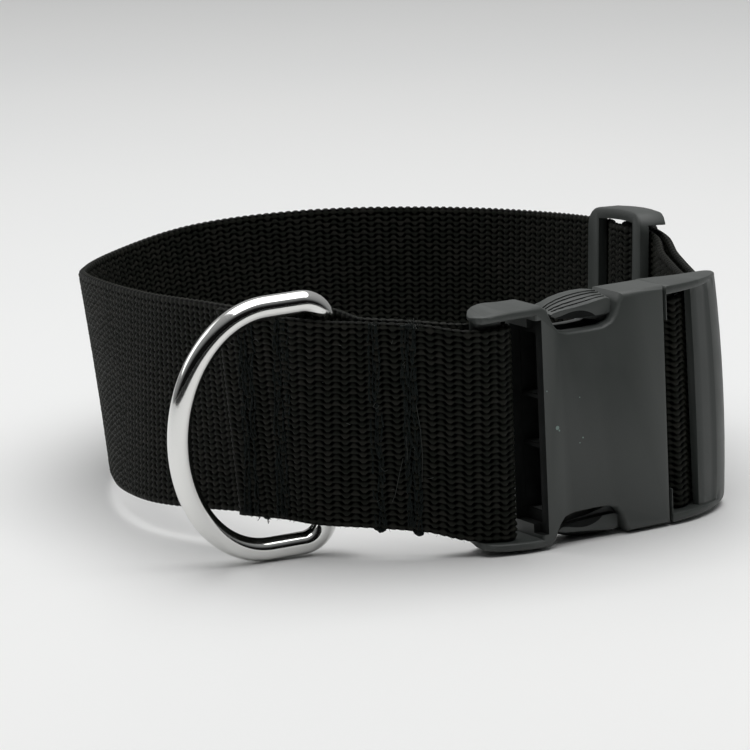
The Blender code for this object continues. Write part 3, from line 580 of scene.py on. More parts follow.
def strap_run():
    wrap_f = F_BAR_THICK / 2 + PLY_GAP + HALF
    nose_f = F_BAR_WIDTH / 2 - F_BAR_THICK / 2
    points = lay(((SEWN_END, PLY), (RING_AT + TUNNEL_REACH, PLY)), RUN_STEP)
    points += tunnel(1)
    front = ((RING_AT - TUNNEL_REACH, PLY), (F_EASE_FROM, PLY), (F_EASE_TO, wrap_f), (-nose_f, wrap_f))
    points += lay(front, RUN_STEP)[1:]
    points += turn((-nose_f, 0.0), wrap_f, 90, 270)
    back = ((-nose_f, -wrap_f), (F_EASE_TO, -wrap_f), (F_EASE_FROM, -PLY), (RING_AT - TUNNEL_REACH, -PLY))
    points += lay(back, RUN_STEP)[1:]
    points += list(reversed(tunnel(-1)))

    # Single strap round the neck, through the slider and on to the male half
    s_mid = S_START + S_LENGTH / 2
    s_end = S_START + S_LENGTH
    over = S_END_TOP + PLY_GAP + HALF
    wrap_s = S_BAR_THICK / 2 + PLY_GAP + HALF
    nose_s = S_BAR_WIDTH / 2 - S_BAR_THICK / 2
    fold = S_BAR_OFFSET - wrap_s
    under = fold - PITCH
    slot_left = S_START + S_END_BAR
    slot_right = s_end - S_END_BAR
    left_nose = s_mid - nose_s
    right_nose = s_mid + nose_s
    m_end = LOOP_LENGTH - M_LENGTH_END
    m_slot = LOOP_LENGTH - M_END_START
    m_bar = LOOP_LENGTH - M_BAR_AT
    wrap_m = M_BAR_THICK / 2 + PLY_GAP + HALF
    nose_m = M_BAR_WIDTH / 2 - M_BAR_THICK / 2
    behind = M_END_BACK - M_ROOM - HALF
    deep = behind - PITCH - M_PLY_ROOM
    single = (
        (RING_AT + TUNNEL_REACH, -PLY),
        (SINGLE_FROM, -PLY),
        (SINGLE_UNTIL, 0.0),
        (S_START - S_EASE_FROM, 0.0),
        (S_START - S_EASE_TO, over),
        (slot_left - S_DIP_FROM, over),
        (left_nose - S_DIP_TO, under),
        (right_nose + S_RISE_FROM, under),
        (slot_right + S_RISE_TO, over),
        (s_end + S_LEAVE, over),
        (s_end + S_TO_M, S_TO_M_INNER_OFFSET),
        (m_end - M_EASE_FROM, deep),
        (m_slot - M_EASE_TO, deep),
        (m_bar - nose_m - M_WRAP_FROM, M_BAR_OFFSET - wrap_m),
        (m_bar + nose_m, M_BAR_OFFSET - wrap_m),
    )
    points += lay(single, RUN_STEP)[1:]
    points += turn((m_bar + nose_m, M_BAR_OFFSET), wrap_m, -90, 90)

    # Outer ply back to the slider, folded round its middle bar
    above = over + PITCH
    outer = (
        (m_bar + nose_m, M_BAR_OFFSET + wrap_m),
        (m_bar - nose_m, M_BAR_OFFSET + wrap_m),
        (m_slot - M_OUTER_FROM, behind),
        (m_end - M_EASE_TO, behind),
        (s_end + S_TO_M_OUTER, S_TO_M_OUTER_OFFSET),
        (s_end + S_LEAVE, above),
        (slot_right, above),
        (right_nose, S_BAR_OFFSET + wrap_s),
        (left_nose, S_BAR_OFFSET + wrap_s),
    )
    points += lay(outer, RUN_STEP)[1:]
    points += turn((left_nose, S_BAR_OFFSET), wrap_s, 90, 270)
    meet = fold + TAIL_ROOM
    tail = ((left_nose, fold), (right_nose, fold), (S_START + TAIL_END, meet))
    points += lay(tail, RUN_STEP)[1:]
    points.append((S_START + TAIL_END, meet))
    return np.array(points)


class Run:
    """Line of the webbing's middle, read by the length of webbing used so far."""

    def __init__(self):
        run = strap_run()
        step = np.linalg.norm(np.diff(run, axis=0), axis=1)
        keep = np.concatenate(([True], step > RUN_STEP_LEAST))
        run = run[keep]
        step = np.linalg.norm(np.diff(run, axis=0), axis=1)
        self.length = np.concatenate(([0.0], np.cumsum(step)))
        self.total = self.length[-1]
        self.points = run

    def at(self, length):
        s = np.interp(length, self.length, self.points[:, 0])
        out = np.interp(length, self.length, self.points[:, 1])
        return np.stack((s, out), axis=-1)

    def normal(self, length):
        ahead = self.at(np.minimum(length + NORMAL_REACH, self.total))
        behind = self.at(np.maximum(length - NORMAL_REACH, 0.0))
        tangent = ahead - behind
        tangent /= np.linalg.norm(tangent, axis=-1)[..., None]
        return np.stack((-tangent[..., 1], tangent[..., 0]), axis=-1)

    def point(self, length, up, lift):
        middle = self.at(length)
        side = self.normal(length)
        s = middle[..., 0] + side[..., 0] * lift
        out = middle[..., 1] + side[..., 1] * lift
        return place_strap(s, out, up)


RUN = Run()


# Woven webbing, its rows and zigzag floats modelled on both faces
def woven_piece(name, first, last, mat):
    picks_first = int(round(first / PICK))
    picks_last = int(math.ceil(last / PICK - PICK_TOLERANCE))
    index = np.arange(picks_first * PICK_STEPS, picks_last * PICK_STEPS + 1)
    lengths = np.clip(index * (PICK / PICK_STEPS), 0.0, RUN.total)
    phase = (index % PICK_STEPS) / PICK_STEPS
    swell = np.sin(math.pi * phase) ** FLOAT_SHAPE
    # Floats lie a quarter row high in one pick and a quarter row low in the next
    rise = np.where((index // PICK_STEPS) % 2 == 0, 1.0, -1.0) * np.sin(math.pi * phase)
    count = ROW_STEPS * ROWS + 1
    levels = np.linspace(-1.0, 1.0, count)
    across = (np.arange(count) % ROW_STEPS) / ROW_STEPS
    ridge = np.sin(math.pi * across) ** FLOAT_SHAPE
    from_edge = (1.0 - np.abs(levels)) * ROWS / 2
    taper = np.clip(from_edge / SWAY_FADE_ROWS, 0.0, 1.0)
    thin = np.clip(from_edge / RELIEF_FADE_ROWS, 0.0, 1.0)
    half_width = WEB_WIDTH / 2
    level_grid = levels[None, :] * (half_width - SELVEDGE_INSET)
    level_grid = level_grid + rise[:, None] * ROW_SWAY * taper[None, :]
    length_grid = np.repeat(lengths[:, None], count, axis=1)
    relief = WEAVE_DEPTH * (ridge[None, :] - 1.0) * (1.0 - MIDDLE_EASE * swell[:, None])
    dive = DIVE_LEAST + (1 - DIVE_LEAST) * ridge[None, :]
    relief = relief - DIVE_DEPTH * (1.0 - swell[:, None]) * dive
    relief = relief * thin[None, :] - (1.0 - thin[None, :]) * SELVEDGE_THIN
    # Each piece has its own seed, from its first length in millimetres
    rng = np.random.default_rng(int(first * 1000) + WEAVE_SEED)
    level_grid = level_grid + rng.normal(0.0, SWAY_SPREAD, level_grid.shape) * thin[None, :]
    relief = relief + rng.normal(0.0, RELIEF_SPREAD, relief.shape) * thin[None, :]
    top = HALF + relief
    front = RUN.point(length_grid, level_grid, top)
    rear = RUN.point(length_grid, level_grid, -top)
    bulge = half_width + SELVEDGE_BULGE * (swell - 0.5)
    high = RUN.point(lengths, bulge, 0.0)
    low = RUN.point(lengths, -bulge, 0.0)
    ring = np.concatenate((front, high[:, None, :], rear[:, ::-1, :], low[:, None, :]), axis=1)
    size = ring.shape[1]
    rows = len(lengths)
    here = np.arange(size)
    start = np.arange(rows - 1)[:, None] * size
    a = (start + here).reshape(-1)
    b = (start + (here + 1) % size).reshape(-1)
    faces = np.stack((a, a + size, b + size, b), axis=1).tolist()
    faces.append(list(range(size)))
    faces.append(list(reversed(range((rows - 1) * size, rows * size))))
    obj = mesh_piece(name, ring.reshape(-1, 3), faces, mat, "collar")
    u = np.repeat((lengths / PICK)[:, None], size, axis=1)
    front_rows = np.arange(count) / ROW_STEPS
    rear_rows = REAR_FIRST_ROW + front_rows[::-1]
    v_ring = np.concatenate((front_rows, [ROWS + 0.5], rear_rows, [-0.5]))
    v = np.repeat(v_ring[None, :], rows, axis=0)
    coords = np.stack((u.reshape(-1), v.reshape(-1)), axis=1)
    layer = obj.data.uv_layers.new(name="weave")
    corner = np.zeros(len(obj.data.loops), dtype=np.int32)
    obj.data.loops.foreach_get("vertex_index", corner)
    layer.data.foreach_set("uv", coords[corner].astype(np.float32).reshape(-1))
    return face_outwards(obj)


def webbing():
    mat = webbing_material()
    cuts = (0.0, *WEBBING_CUTS, RUN.total)
    names = ("webbing_sewn_end", "webbing_neck", "webbing_adjuster")
    for name, first, last in zip(names, cuts, cuts[1:]):
        obj = woven_piece(name, first, last, mat)
    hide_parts("strap")


# Box between two lengths along the path, two distances out of it and two heights across it
def bent_box(name, along, out, up):
    points = []
    for s in along:
        for o, u in ((out[0], up[0]), (out[1], up[0]), (out[1], up[1]), (out[0], up[1])):
            points.append(tuple(place(s, o, u + BUCKLE_RISE)))
    faces = [(0, 1, 2, 3), (7, 6, 5, 4), (0, 4, 5, 1), (1, 5, 6, 2), (2, 6, 7, 3), (3, 7, 4, 0)]
    mesh = bpy.data.meshes.new(name)
    mesh.from_pydata(points, [], faces)
    # Its faces carry the second material, the painted shade, onto the walls it cuts
    mesh.polygons.foreach_set("material_index", [1] * len(faces))
    return face_outwards(new_object(name, mesh))


def cut_away(obj, cutters):
    for cutter in cutters:
        cut = obj.modifiers.new(cutter.name, "BOOLEAN")
        cut.operation = "DIFFERENCE"
        cut.solver = "EXACT"
        cut.object = cutter
    bpy.context.view_layer.update()
    graph = bpy.context.evaluated_depsgraph_get()
    mesh = bpy.data.meshes.new_from_object(obj.evaluated_get(graph))
    obj.modifiers.clear()
    obj.data = mesh
    for cutter in cutters:
        bpy.data.objects.remove(cutter, do_unlink=True)


# Rounded copies of the moulded nodes: the angles are in degrees, of faces that are taken as one
# and of edges that get a rim
WELD_REACH = 0.000004
FLAT_ANGLE = 0.6
RIM_WIDTH = 0.00022
RIM_ANGLE = 38.0


def moulded(node, name, mats, cutters=()):
    obj = new_object(name, frame["nodes"][node].data.copy())
    obj.data.materials.clear()
    for mat in mats:
        obj.data.materials.append(mat)
    if cutters:
        cut_away(obj, cutters)
    mesh = obj.data
    mesh.name = name
    bm = bmesh.new()
    bm.from_mesh(mesh)
    bmesh.ops.remove_doubles(bm, verts=bm.verts[:], dist=WELD_REACH)
    bmesh.ops.dissolve_limit(
        bm,
        angle_limit=math.radians(FLAT_ANGLE),
        verts=bm.verts[:],
        edges=bm.edges[:],
        use_dissolve_boundaries=False,
        delimit={"MATERIAL"},
    )
    bm.to_mesh(mesh)
    bm.free()
    mesh.shade_smooth()
    bevel = obj.modifiers.new("rims", "BEVEL")
    bevel.width = RIM_WIDTH
    bevel.segments = 2
    bevel.limit_method = "ANGLE"
    bevel.angle_limit = math.radians(RIM_ANGLE)
    bevel.use_clamp_overlap = True
    bevel.harden_normals = True
    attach(obj, "collar")
    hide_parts(node)


# Female half: the wall beside the strap bar is set back and open between two webs; the walls left by the
# cuts take the painted shade
# each cut has its low and high end across the strap, start and end along it, back and front
POCKETS = (
    (-0.0250, 0.0250, 0.0065, 0.0122, 0.0014, 0.0090),
    (-0.0230, 0.0230, 0.0065, 0.0132, -0.0058, 0.0024),
    (-0.0205, -0.0056, 0.0065, 0.0168, -0.0056, 0.0016),
    (-0.0048, 0.0060, 0.0065, 0.0172, -0.0056, 0.0016),
    (0.0068, 0.0212, 0.0065, 0.0168, -0.0056, 0.0016),
)


def female_shell(mat, painted_shade):
    cutters = []
    for index, (low, high, start, end, back, front) in enumerate(POCKETS):
        along = (LOOP_LENGTH - start, LOOP_LENGTH - end)
        cutters.append(bent_box("pocket_%d" % index, along, (back, front), (low, high)))
    # The walls left by the cuts take the painted shade, the second material
    moulded("buckle_female", "female_shell", (mat, painted_shade), cutters)


# Side prongs: fine grooves along the crest and a finger scoop in the front face, both drawn dark in
# painted shade
LEAF_START = 0.0162
LEAF_LENGTH = 0.0163
LEAF_FRONT = 0.0030
LEAF_BACK = -0.0062
# along is a share of the prong's length, the others are shares of half the buckle height
LEAF_TABLE = (
    (0.05, 0.934, 0.912, 0.872),
    (0.14, 0.962, 0.920, 0.858),
    (0.28, 0.990, 0.926, 0.848),
    (0.46, 1.010, 0.934, 0.842),
    (0.64, 1.019, 0.946, 0.838),
    (0.82, 1.018, 0.962, 0.836),
    (0.94, 1.008, 0.968, 0.838),
)
# distance through the prong as a share of its depth, and the share of crest left there
GROOVES = ((0.50, 0.88), (0.62, 0.72), (0.76, 0.46), (0.88, 0.23))
GROOVE_RADIUS = 0.00017
GROOVE_SIDES = 6
# start and length of the scoop are shares of the prong's length, its rise is a share of the room
# below the shoulder
SCOOP_START = 0.08
SCOOP_REACH = 0.66
SCOOP_STEPS = 16
SCOOP_RISE = 0.62
SCOOP_SHAPE = 0.8
SCOOP_LEAST = 0.002
SCOOP_SUNK = 0.0003
SCOOP_SKIN = 0.00005


def prong_grooves(mat):
    # Thin tubes in the painted shade material, dark as if the grooves were in shadow
    threads = Threads()
    half = BUCKLE_HEIGHT / 2
    for sign in (1, -1):
        for through, share in GROOVES:
            line = []
            for along, crest, shoulder, low in LEAF_TABLE:
                up = sign * half * (share * crest + (1 - share) * shoulder) + BUCKLE_RISE
                out = LEAF_BACK + through * (LEAF_FRONT - LEAF_BACK)
                line.append(place(LOOP_LENGTH - LEAF_START - along * LEAF_LENGTH, out, up))
            threads.add(line, GROOVE_RADIUS, GROOVE_SIDES)
    threads.piece("prong_grooves", mat)


def prong_scoop_painted_shade(mat):
    # A thin dark skin of painted shade where the front face is hollowed in an arch, standing in for the
    # shade in the hollow
    table = np.array(LEAF_TABLE)
    half = BUCKLE_HEIGHT / 2
    points = []
    faces = []
    for sign in (1, -1):
        first = len(points)
        for i in range(SCOOP_STEPS + 1):
            t = i / SCOOP_STEPS
            along = SCOOP_START + SCOOP_REACH * t
            s = LOOP_LENGTH - LEAF_START - along * LEAF_LENGTH
            shoulder = np.interp(along, table[:, 0], table[:, 2])
            low = np.interp(along, table[:, 0], table[:, 3])
            arch = low + SCOOP_RISE * (shoulder - low) * math.sin(math.pi * t) ** SCOOP_SHAPE + SCOOP_LEAST
            for out in (LEAF_FRONT - SCOOP_SUNK, LEAF_FRONT + SCOOP_SKIN):
                points.append(place(s, out, sign * half * low + BUCKLE_RISE))
                points.append(place(s, out, sign * half * arch + BUCKLE_RISE))
        for i in range(SCOOP_STEPS):
            a = first + 4 * i
            for b, c in ((0, 1), (1, 3), (3, 2), (2, 0)):
                faces.append((a + b, a + c, a + 4 + c, a + 4 + b))
        faces.append((first, first + 2, first + 3, first + 1))
        last = first + 4 * SCOOP_STEPS
        faces.append((last, last + 1, last + 3, last + 2))
    obj = mesh_piece("prong_scoop_painted_shade", points, faces, mat, "collar")
    obj.data.shade_flat()
    face_outwards(obj)


# Pale specks on the front face: length from the female half's bar, height and radius
SPECKS = (
    (0.0155, -0.0005, 0.00050),
    (0.0160, -0.0012, 0.00022),
    (0.0224, -0.0038, 0.00020),
    (0.0130, 0.0084, 0.00018),
    (0.0219, 0.0057, 0.00014),
    (0.0215, -0.0049, 0.00016),
)
FRONT_FACE = 0.0050
SPECK_SUNK = 0.0001
SPECK_PROUD = 0.00006
SPECK_SIDES = 7


def specks():
    mat = new_material("pale_speck", (0.20, 0.27, 0.245), 0.6)[0]
    threads = Threads()
    for along, up, radius in SPECKS:
        s = LOOP_LENGTH - along
        through = (FRONT_FACE - SPECK_SUNK, FRONT_FACE + SPECK_PROUD)
        line = [place(s, out, up + BUCKLE_RISE) for out in through]
        threads.add(line, radius, SPECK_SIDES)
    obj = threads.piece("front_specks", mat)
    obj.data.shade_flat()


# D ring of round wire, finer than its solid
RING_BAR_STEPS = 12
RING_CORNER_STEPS = 12
RING_BOW_STEPS = 72
RING_SIDES = 32


def corner_arc(start, level):
    # Quarter turn between the ring's straight bar and its bow, from a start angle in radians
    line = []
    for i in range(RING_CORNER_STEPS + 1):
        angle = start - 0.5 * math.pi * i / RING_CORNER_STEPS
        line.append((RING_CORNER + RING_CORNER * math.cos(angle), level + RING_CORNER * math.sin(angle)))
    return line


def ring_piece():
    source = frame["nodes"]["d_ring"]
    centre = Vector(HINGE["pos_m"])
    axis = Vector(HINGE["axis"]).normalized()
    middle = sum((v.co for v in source.data.vertices), Vector()) / len(source.data.vertices)
    bow = middle - centre
    bow = (bow - axis * bow.dot(axis)).normalized()
    side = axis.cross(bow)
    radius = RING_WIRE / 2
    top = RING_INNER_HEIGHT / 2 + radius
    corner = top - RING_CORNER
    line = [(0.0, z) for z in np.linspace(-corner, corner, RING_BAR_STEPS)[1:-1]]
    line += corner_arc(math.pi, corner)
    reach = RING_DEPTH - RING_BOW_START
    for i in range(RING_BOW_STEPS + 1):
        angle = 0.5 * math.pi - math.pi * i / RING_BOW_STEPS
        line.append((RING_BOW_START + reach * math.cos(angle), top * math.sin(angle)))
    line += corner_arc(-0.5 * math.pi, -corner)
    flat = np.array(line)
    tangent = np.roll(flat, -1, axis=0) - np.roll(flat, 1, axis=0)
    tangent /= np.linalg.norm(tangent, axis=1)[:, None]
    points = []
    for (x, z), (tx, tz) in zip(flat, tangent):
        for k in range(RING_SIDES):
            angle = 2 * math.pi * k / RING_SIDES
            across = radius * math.cos(angle)
            through = radius * math.sin(angle)
            points.append(centre + bow * (x - tz * through) + axis * (z + tx * through) + side * across)
    count = len(flat)
    faces = []
    for i in range(count):
        here = i * RING_SIDES
        after = ((i + 1) % count) * RING_SIDES
        for k in range(RING_SIDES):
            beside = (k + 1) % RING_SIDES
            faces.append((here + k, here + beside, after + beside, after + k))
    obj = mesh_piece("ring_wire", points, faces, chrome_material(), "ring")
    face_outwards(obj)
    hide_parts("d_ring")


# Sewing: each row is several passes of lockstitch, wandering a little
STITCH_SHAPE = 0.4
STITCH_SUNK = 0.00045
STITCH_POINTS = 7
STITCH_LENGTH = (0.0026, 0.0040)
STITCH_UNEVEN = (0.85, 1.15)
STITCH_LIFT = (-0.00008, 0.00014)
STITCH_SKEW = 0.00013
STITCH_SHIFT = 0.0001
# Two plies make a thread, this far from its middle and so many radians of twist in a stitch
PLY_RADIUS = (0.00011, 0.00015)
PLY_OFFSET = 0.00011
PLY_TWIST = 5.0
# Knots of a row's line, how far the row, its passes and their knots stray, room at the edges
ROW_KNOTS = 13
ROW_DRIFT = 0.0002
PASS_DRIFT = 0.0003
PASS_WANDER = 0.00022
FOOT_ROOM = (0.0001, 0.0010)
TOP_ROOM = 0.0001
LEAST_LEFT = 0.0006


def strand(threads, s_line, up_line, side, lift, radius):
    # One ply of a stitch, thinner and sunk in the webbing at both ends
    count = len(s_line)
    line = []
    radii = []
    for i in range(count):
        t = i / (count - 1)
        rise = math.sin(math.pi * t) ** STITCH_SHAPE
        out = side * (FACE - STITCH_SUNK + (STITCH_SUNK + lift) * rise)
        line.append(place_strap(s_line[i], out, up_line[i]))
        radii.append(radius * (0.7 + 0.3 * rise))
    threads.add(line, radii)


def sewing_row(name, row, mat, rng, side):
    # side is +1 on the outer face of the front ply, -1 on the inner face of the back ply
    top_at, foot_at, passes, spread, cover = row
    threads = Threads()
    half = WEB_WIDTH / 2
    knots = np.linspace(-half, half, ROW_KNOTS)
    drift = np.linspace(foot_at, top_at, ROW_KNOTS) + rng.uniform(-ROW_DRIFT, ROW_DRIFT, ROW_KNOTS)
    for p in range(passes):
        offset = (p - (passes - 1) / 2) * spread / (passes - 1) + rng.uniform(-PASS_DRIFT, PASS_DRIFT)
        wander = drift + offset + rng.normal(0.0, PASS_WANDER, ROW_KNOTS)
        length = rng.uniform(*STITCH_LENGTH)
        low = -half + rng.uniform(*FOOT_ROOM)
        while low < half - LEAST_LEFT:
            high = min(low + length * rng.uniform(*STITCH_UNEVEN), half - TOP_ROOM)
            if rng.uniform() < cover:
                ups = np.linspace(low, high, STITCH_POINTS)
                skew = rng.normal(0.0, STITCH_SKEW)
                base = np.interp(ups, knots, wander) + np.linspace(-skew, skew, STITCH_POINTS)
                lift = rng.uniform(*STITCH_LIFT)
                for ply in range(2):
                    turned = np.linspace(0, PLY_TWIST, STITCH_POINTS) + ply * math.pi
                    radius = rng.uniform(*PLY_RADIUS)
                    strand(threads, base + PLY_OFFSET * np.sin(turned), ups, side, lift, radius)
            low = high + rng.uniform(-STITCH_SHIFT, STITCH_SHIFT)
    threads.piece(name, mat)


# Lumps: length along the path, share of the front's distance out, edge as +1 for the upper one,
# distance up from that edge, width and depth
LUMPS = (
    (0.0254, 0.6, -1, -0.0001, 0.0014, 0.0012),
    (0.0167, 0.6, -1, -0.0001, 0.0014, 0.0012),
    (0.0172, 0.9, 1, -0.0003, 0.0010, 0.0007),
    (0.0545, 0.6, -1, 0.0001, 0.0010, 0.0006),
)
LUMP_LOOPS = 16
LUMP_STEPS = 12
LUMP_THREAD = 0.00019
# Each loop's spread of tip, range of size and spread of shift, then its shares out and up,
# how far the tip moves it and how much the foot narrows it
LUMP_TIP = 0.5
LUMP_SIZE = (0.35, 1.0)
LUMP_SHIFT = 0.25
LUMP_OUT = 0.7
LUMP_UP = 0.55
LUMP_TIPPED = 0.25
LUMP_NARROW = 0.55


def knots_of_thread(mat, rng):
    # Lumps where a row turns round the edge: loops of thread wound on each other,
    # each turned, tipped, sized and shifted at random, and narrower towards the foot
    threads = Threads()
    for s, share, edge, above, width, depth in LUMPS:
        out = share * FACE
        up = edge * WEB_WIDTH / 2 + above
        for i in range(LUMP_LOOPS):
            turn_at = rng.uniform(0, math.pi)
            tip = rng.uniform(-LUMP_TIP, LUMP_TIP)
            size = rng.uniform(*LUMP_SIZE)
            lift = rng.uniform(-LUMP_SHIFT, LUMP_SHIFT)
            line = []
            for k in range(LUMP_STEPS + 1):
                angle = 2 * math.pi * k / LUMP_STEPS
                ds = width * size * math.cos(angle) * math.cos(turn_at)
                do = LUMP_OUT * width * size * math.cos(angle) * math.sin(turn_at)
                dup = depth * (LUMP_UP * size * math.sin(angle) + tip * LUMP_TIPPED + lift)
                narrow = 1.0 - LUMP_NARROW * max(0.0, -dup / depth)
                line.append(place_strap(s + ds * narrow, out + do * narrow, up + dup))
            threads.add(line, LUMP_THREAD)
    threads.piece("thread_lumps", mat)


# Free ends: points of each, spread of their roots along and out, of their way and their curl
END_POINTS = 7
END_ALONG = 0.0007
END_OUT = 0.0003
END_WAY = 0.42
END_CURL = 0.55
END_REACH = (0.45, 1.0)
END_TIP = 0.6


def loose_threads(name, starts, radius, mat, rng):
    # Short free ends: each start is length, out, up, then the way it leaves, its reach and how many
    threads = Threads()
    for s, out, up, ds, do, dup, reach, count in starts:
        for i in range(count):
            base = np.array((s + rng.normal(0, END_ALONG), out + rng.normal(0, END_OUT), up))
            way = np.array((ds, do, dup)) + rng.normal(0, END_WAY, 3)
            way /= np.linalg.norm(way)
            curl = rng.normal(0, END_CURL, 3)
            length = reach * rng.uniform(*END_REACH)
            line = []
            for t in np.arange(END_POINTS) / (END_POINTS - 1):
                spot = base + way * length * t + curl * length * t * t * 0.5
                line.append(place_strap(spot[0], spot[1], spot[2]))
            radii = np.linspace(radius, radius * END_TIP, END_POINTS)
            threads.add(line, radii)
    threads.piece(name, mat)


# Fuzz: lengths of webbing that bear it, share on the upper edge, then each fibre's
# distance off the edge, reach, spread of lean and tilt, radius at root and tip
FIBRE_POINTS = 5
FUZZ_COUNT = 170
FUZZ_ON = (0.002, 0.125)
FUZZ_UPPER = 0.6
FUZZ_OFF = 0.00005
FUZZ_REACH = (0.0003, 0.0009)
FUZZ_LEAN = 0.6
FUZZ_TILT = 0.8
FUZZ_ROOT = 0.000035
FUZZ_TIP = 0.00002
FUZZ_SIDES = 3


def fuzz(mat, rng):
    # Fine fibres that stand off the two selvedges of the sewn end
    threads = Threads()
    radii = np.linspace(FUZZ_ROOT, FUZZ_TIP, FIBRE_POINTS)
    for i in range(FUZZ_COUNT):
        length = rng.uniform(*FUZZ_ON)
        sign = 1 if rng.uniform() < FUZZ_UPPER else -1
        up = sign * (WEB_WIDTH / 2 + FUZZ_OFF)
        reach = rng.uniform(*FUZZ_REACH)
        lean = rng.normal(0, FUZZ_LEAN)
        tilt = rng.normal(0, FUZZ_TILT)
        line = []
        for t in np.arange(FIBRE_POINTS) / (FIBRE_POINTS - 1):
            where = length + reach * lean * t * t
            line.append(RUN.point(where, up + sign * reach * (t - 0.25 * t * t), reach * tilt * t * t))
        threads.add(line, radii, FUZZ_SIDES)
    threads.piece("selvedge_fuzz", mat)


# Lint: where it lies along and across the front, then each fibre's length, bow and height
LINT_COUNT = 16
LINT_ALONG = (0.006, 0.058)
LINT_UP = 0.022
LINT_REACH = (0.0006, 0.0014)
LINT_BOW = 0.5
LINT_OFF = 0.00012
LINT_RISE = 0.0002
LINT_RADIUS = 0.00004
LINT_SIDES = 4


def lint(mat, rng):
    # Short pale fibres caught on the outer face
    threads = Threads()
    for i in range(LINT_COUNT):
        s = rng.uniform(*LINT_ALONG)
        up = rng.uniform(-LINT_UP, LINT_UP)
        angle = rng.uniform(0, 2 * math.pi)
        reach = rng.uniform(*LINT_REACH)
        bow = rng.normal(0, LINT_BOW)
        line = []
        for t in np.arange(FIBRE_POINTS) / (FIBRE_POINTS - 1):
            along = reach * (t - 0.5)
            aside = reach * bow * (t - 0.5) ** 2
            ds = along * math.cos(angle) - aside * math.sin(angle)
            dup = along * math.sin(angle) + aside * math.cos(angle)
            line.append(place_strap(s + ds, FACE + LINT_OFF + LINT_RISE * t, up + dup))
        threads.add(line, LINT_RADIUS, LINT_SIDES)
    threads.piece("lint", mat)


# Single loose stitches on the outer face: points of length along the path and height across it
STRAYS = (
    ((0.0163, 0.0062), (0.0156, 0.0010), (0.0153, -0.0055), (0.0156, -0.0125)),
    ((0.0196, -0.0070), (0.0206, -0.0110), (0.0217, -0.0160), (0.0224, -0.0178)),
    ((0.0188, -0.0015), (0.0186, -0.0045), (0.0187, -0.0072)),
    ((0.0250, 0.0062), (0.0257, 0.0052), (0.0248, 0.0048), (0.0243, 0.0056)),
    ((0.0246, -0.0095), (0.0238, -0.0104), (0.0230, -0.0100)),
)
STRAY_POINTS = 19
STRAY_RADIUS = 0.00009
STRAY_OFF = 0.00005
STRAY_RISE = 0.00022


def stray_threads(mat):
    threads = Threads()
    for knots in STRAYS:
        knots = np.array(knots)
        share = np.linspace(0.0, 1.0, len(knots))
        t = np.linspace(0.0, 1.0, STRAY_POINTS)
        s = np.interp(t, share, knots[:, 0])
        up = np.interp(t, share, knots[:, 1])
        s[1:-1] = (s[:-2] + s[1:-1] + s[2:]) / 3
        up[1:-1] = (up[:-2] + up[1:-1] + up[2:]) / 3
        out = FACE + STRAY_OFF + STRAY_RISE * np.sin(math.pi * t)
        threads.add(place_strap(s, out, up), STRAY_RADIUS)
    threads.piece("stray_threads", mat)


# Each row has its name, length along the path at the top and at the foot, passes, width
# and the share of it that is stitched
SEWING_ROWS = (
    ("stitch_row_a", 0.0253, 0.0251, 4, 0.0018, 0.90),
    ("stitch_row_b", 0.0175, 0.0175, 7, 0.0033, 0.92),
    ("stitch_row_c", 0.0537, 0.0586, 8, 0.0036, 0.84),
    ("stitch_row_d", 0.0457, 0.0490, 7, 0.0033, 0.80),
)
# Free ends: length, distance out of the ply, edge, distance up from it, way, reach, how many
THREAD_ENDS = (
    (0.0163, 0.0006, 1, -0.0006, 0.1, 0.2, 1.0, 0.0019, 14),
    (0.0163, 0.0, -1, 0.0002, 0.2, 0.1, -1.0, 0.0016, 4),
    (0.0245, 0.0006, 1, -0.0004, 0.3, 0.3, 0.8, 0.0013, 6),
    (0.0545, 0.0, -1, 0.0004, 0.3, 0.2, -1.0, 0.0021, 8),
    (0.0575, 0.0, -1, 0.0004, 0.1, 0.2, -1.0, 0.0017, 5),
    (0.0462, 0.0, -1, 0.0002, 0.4, 0.2, -0.9, 0.0012, 5),
    (0.0615, 0.0, -1, 0.0020, 0.6, 0.3, -0.6, 0.0015, 6),
)
PALE_TUFTS = (
    (0.0165, 0.0008, 1, -0.0007, 0.0, 0.3, 1.0, 0.0016, 15),
    (0.0250, 0.0008, 1, -0.0004, 0.2, 0.3, 0.7, 0.0010, 5),
)
END_RADIUS = 0.00010
TUFT_RADIUS = 0.00006
SEWING_SEED = 11


def from_edges(table):
    # Turns each row's distance out of the ply and up from an edge into places on the strap
    half = WEB_WIDTH / 2
    return [(s, PLY + out, edge * half + up, *rest) for s, out, edge, up, *rest in table]


def sewing():
    rng = np.random.default_rng(SEWING_SEED)
    black = thread_material("sewing_thread", (0.0028, 0.0048, 0.0044), (0.0085, 0.0130, 0.0120))
    for name, *row in SEWING_ROWS:
        sewing_row(name, row, black, rng, 1)
        sewing_row(name + "_inside", row, black, rng, -1)
    knots_of_thread(black, rng)
    loose_threads("thread_ends", from_edges(THREAD_ENDS), END_RADIUS, black, rng)
    fibre = thread_material("fibre", (0.012, 0.013, 0.012), (0.03, 0.031, 0.028))
    fuzz(fibre, rng)
    pale = thread_material("lint_fibre", (0.05, 0.055, 0.052), (0.11, 0.115, 0.11))
    lint(pale, rng)
    loose_threads("pale_tufts", from_edges(PALE_TUFTS), TUFT_RADIUS, pale, rng)
    worn = thread_material("worn_thread", (0.020, 0.023, 0.021), (0.045, 0.048, 0.044))
    stray_threads(worn)


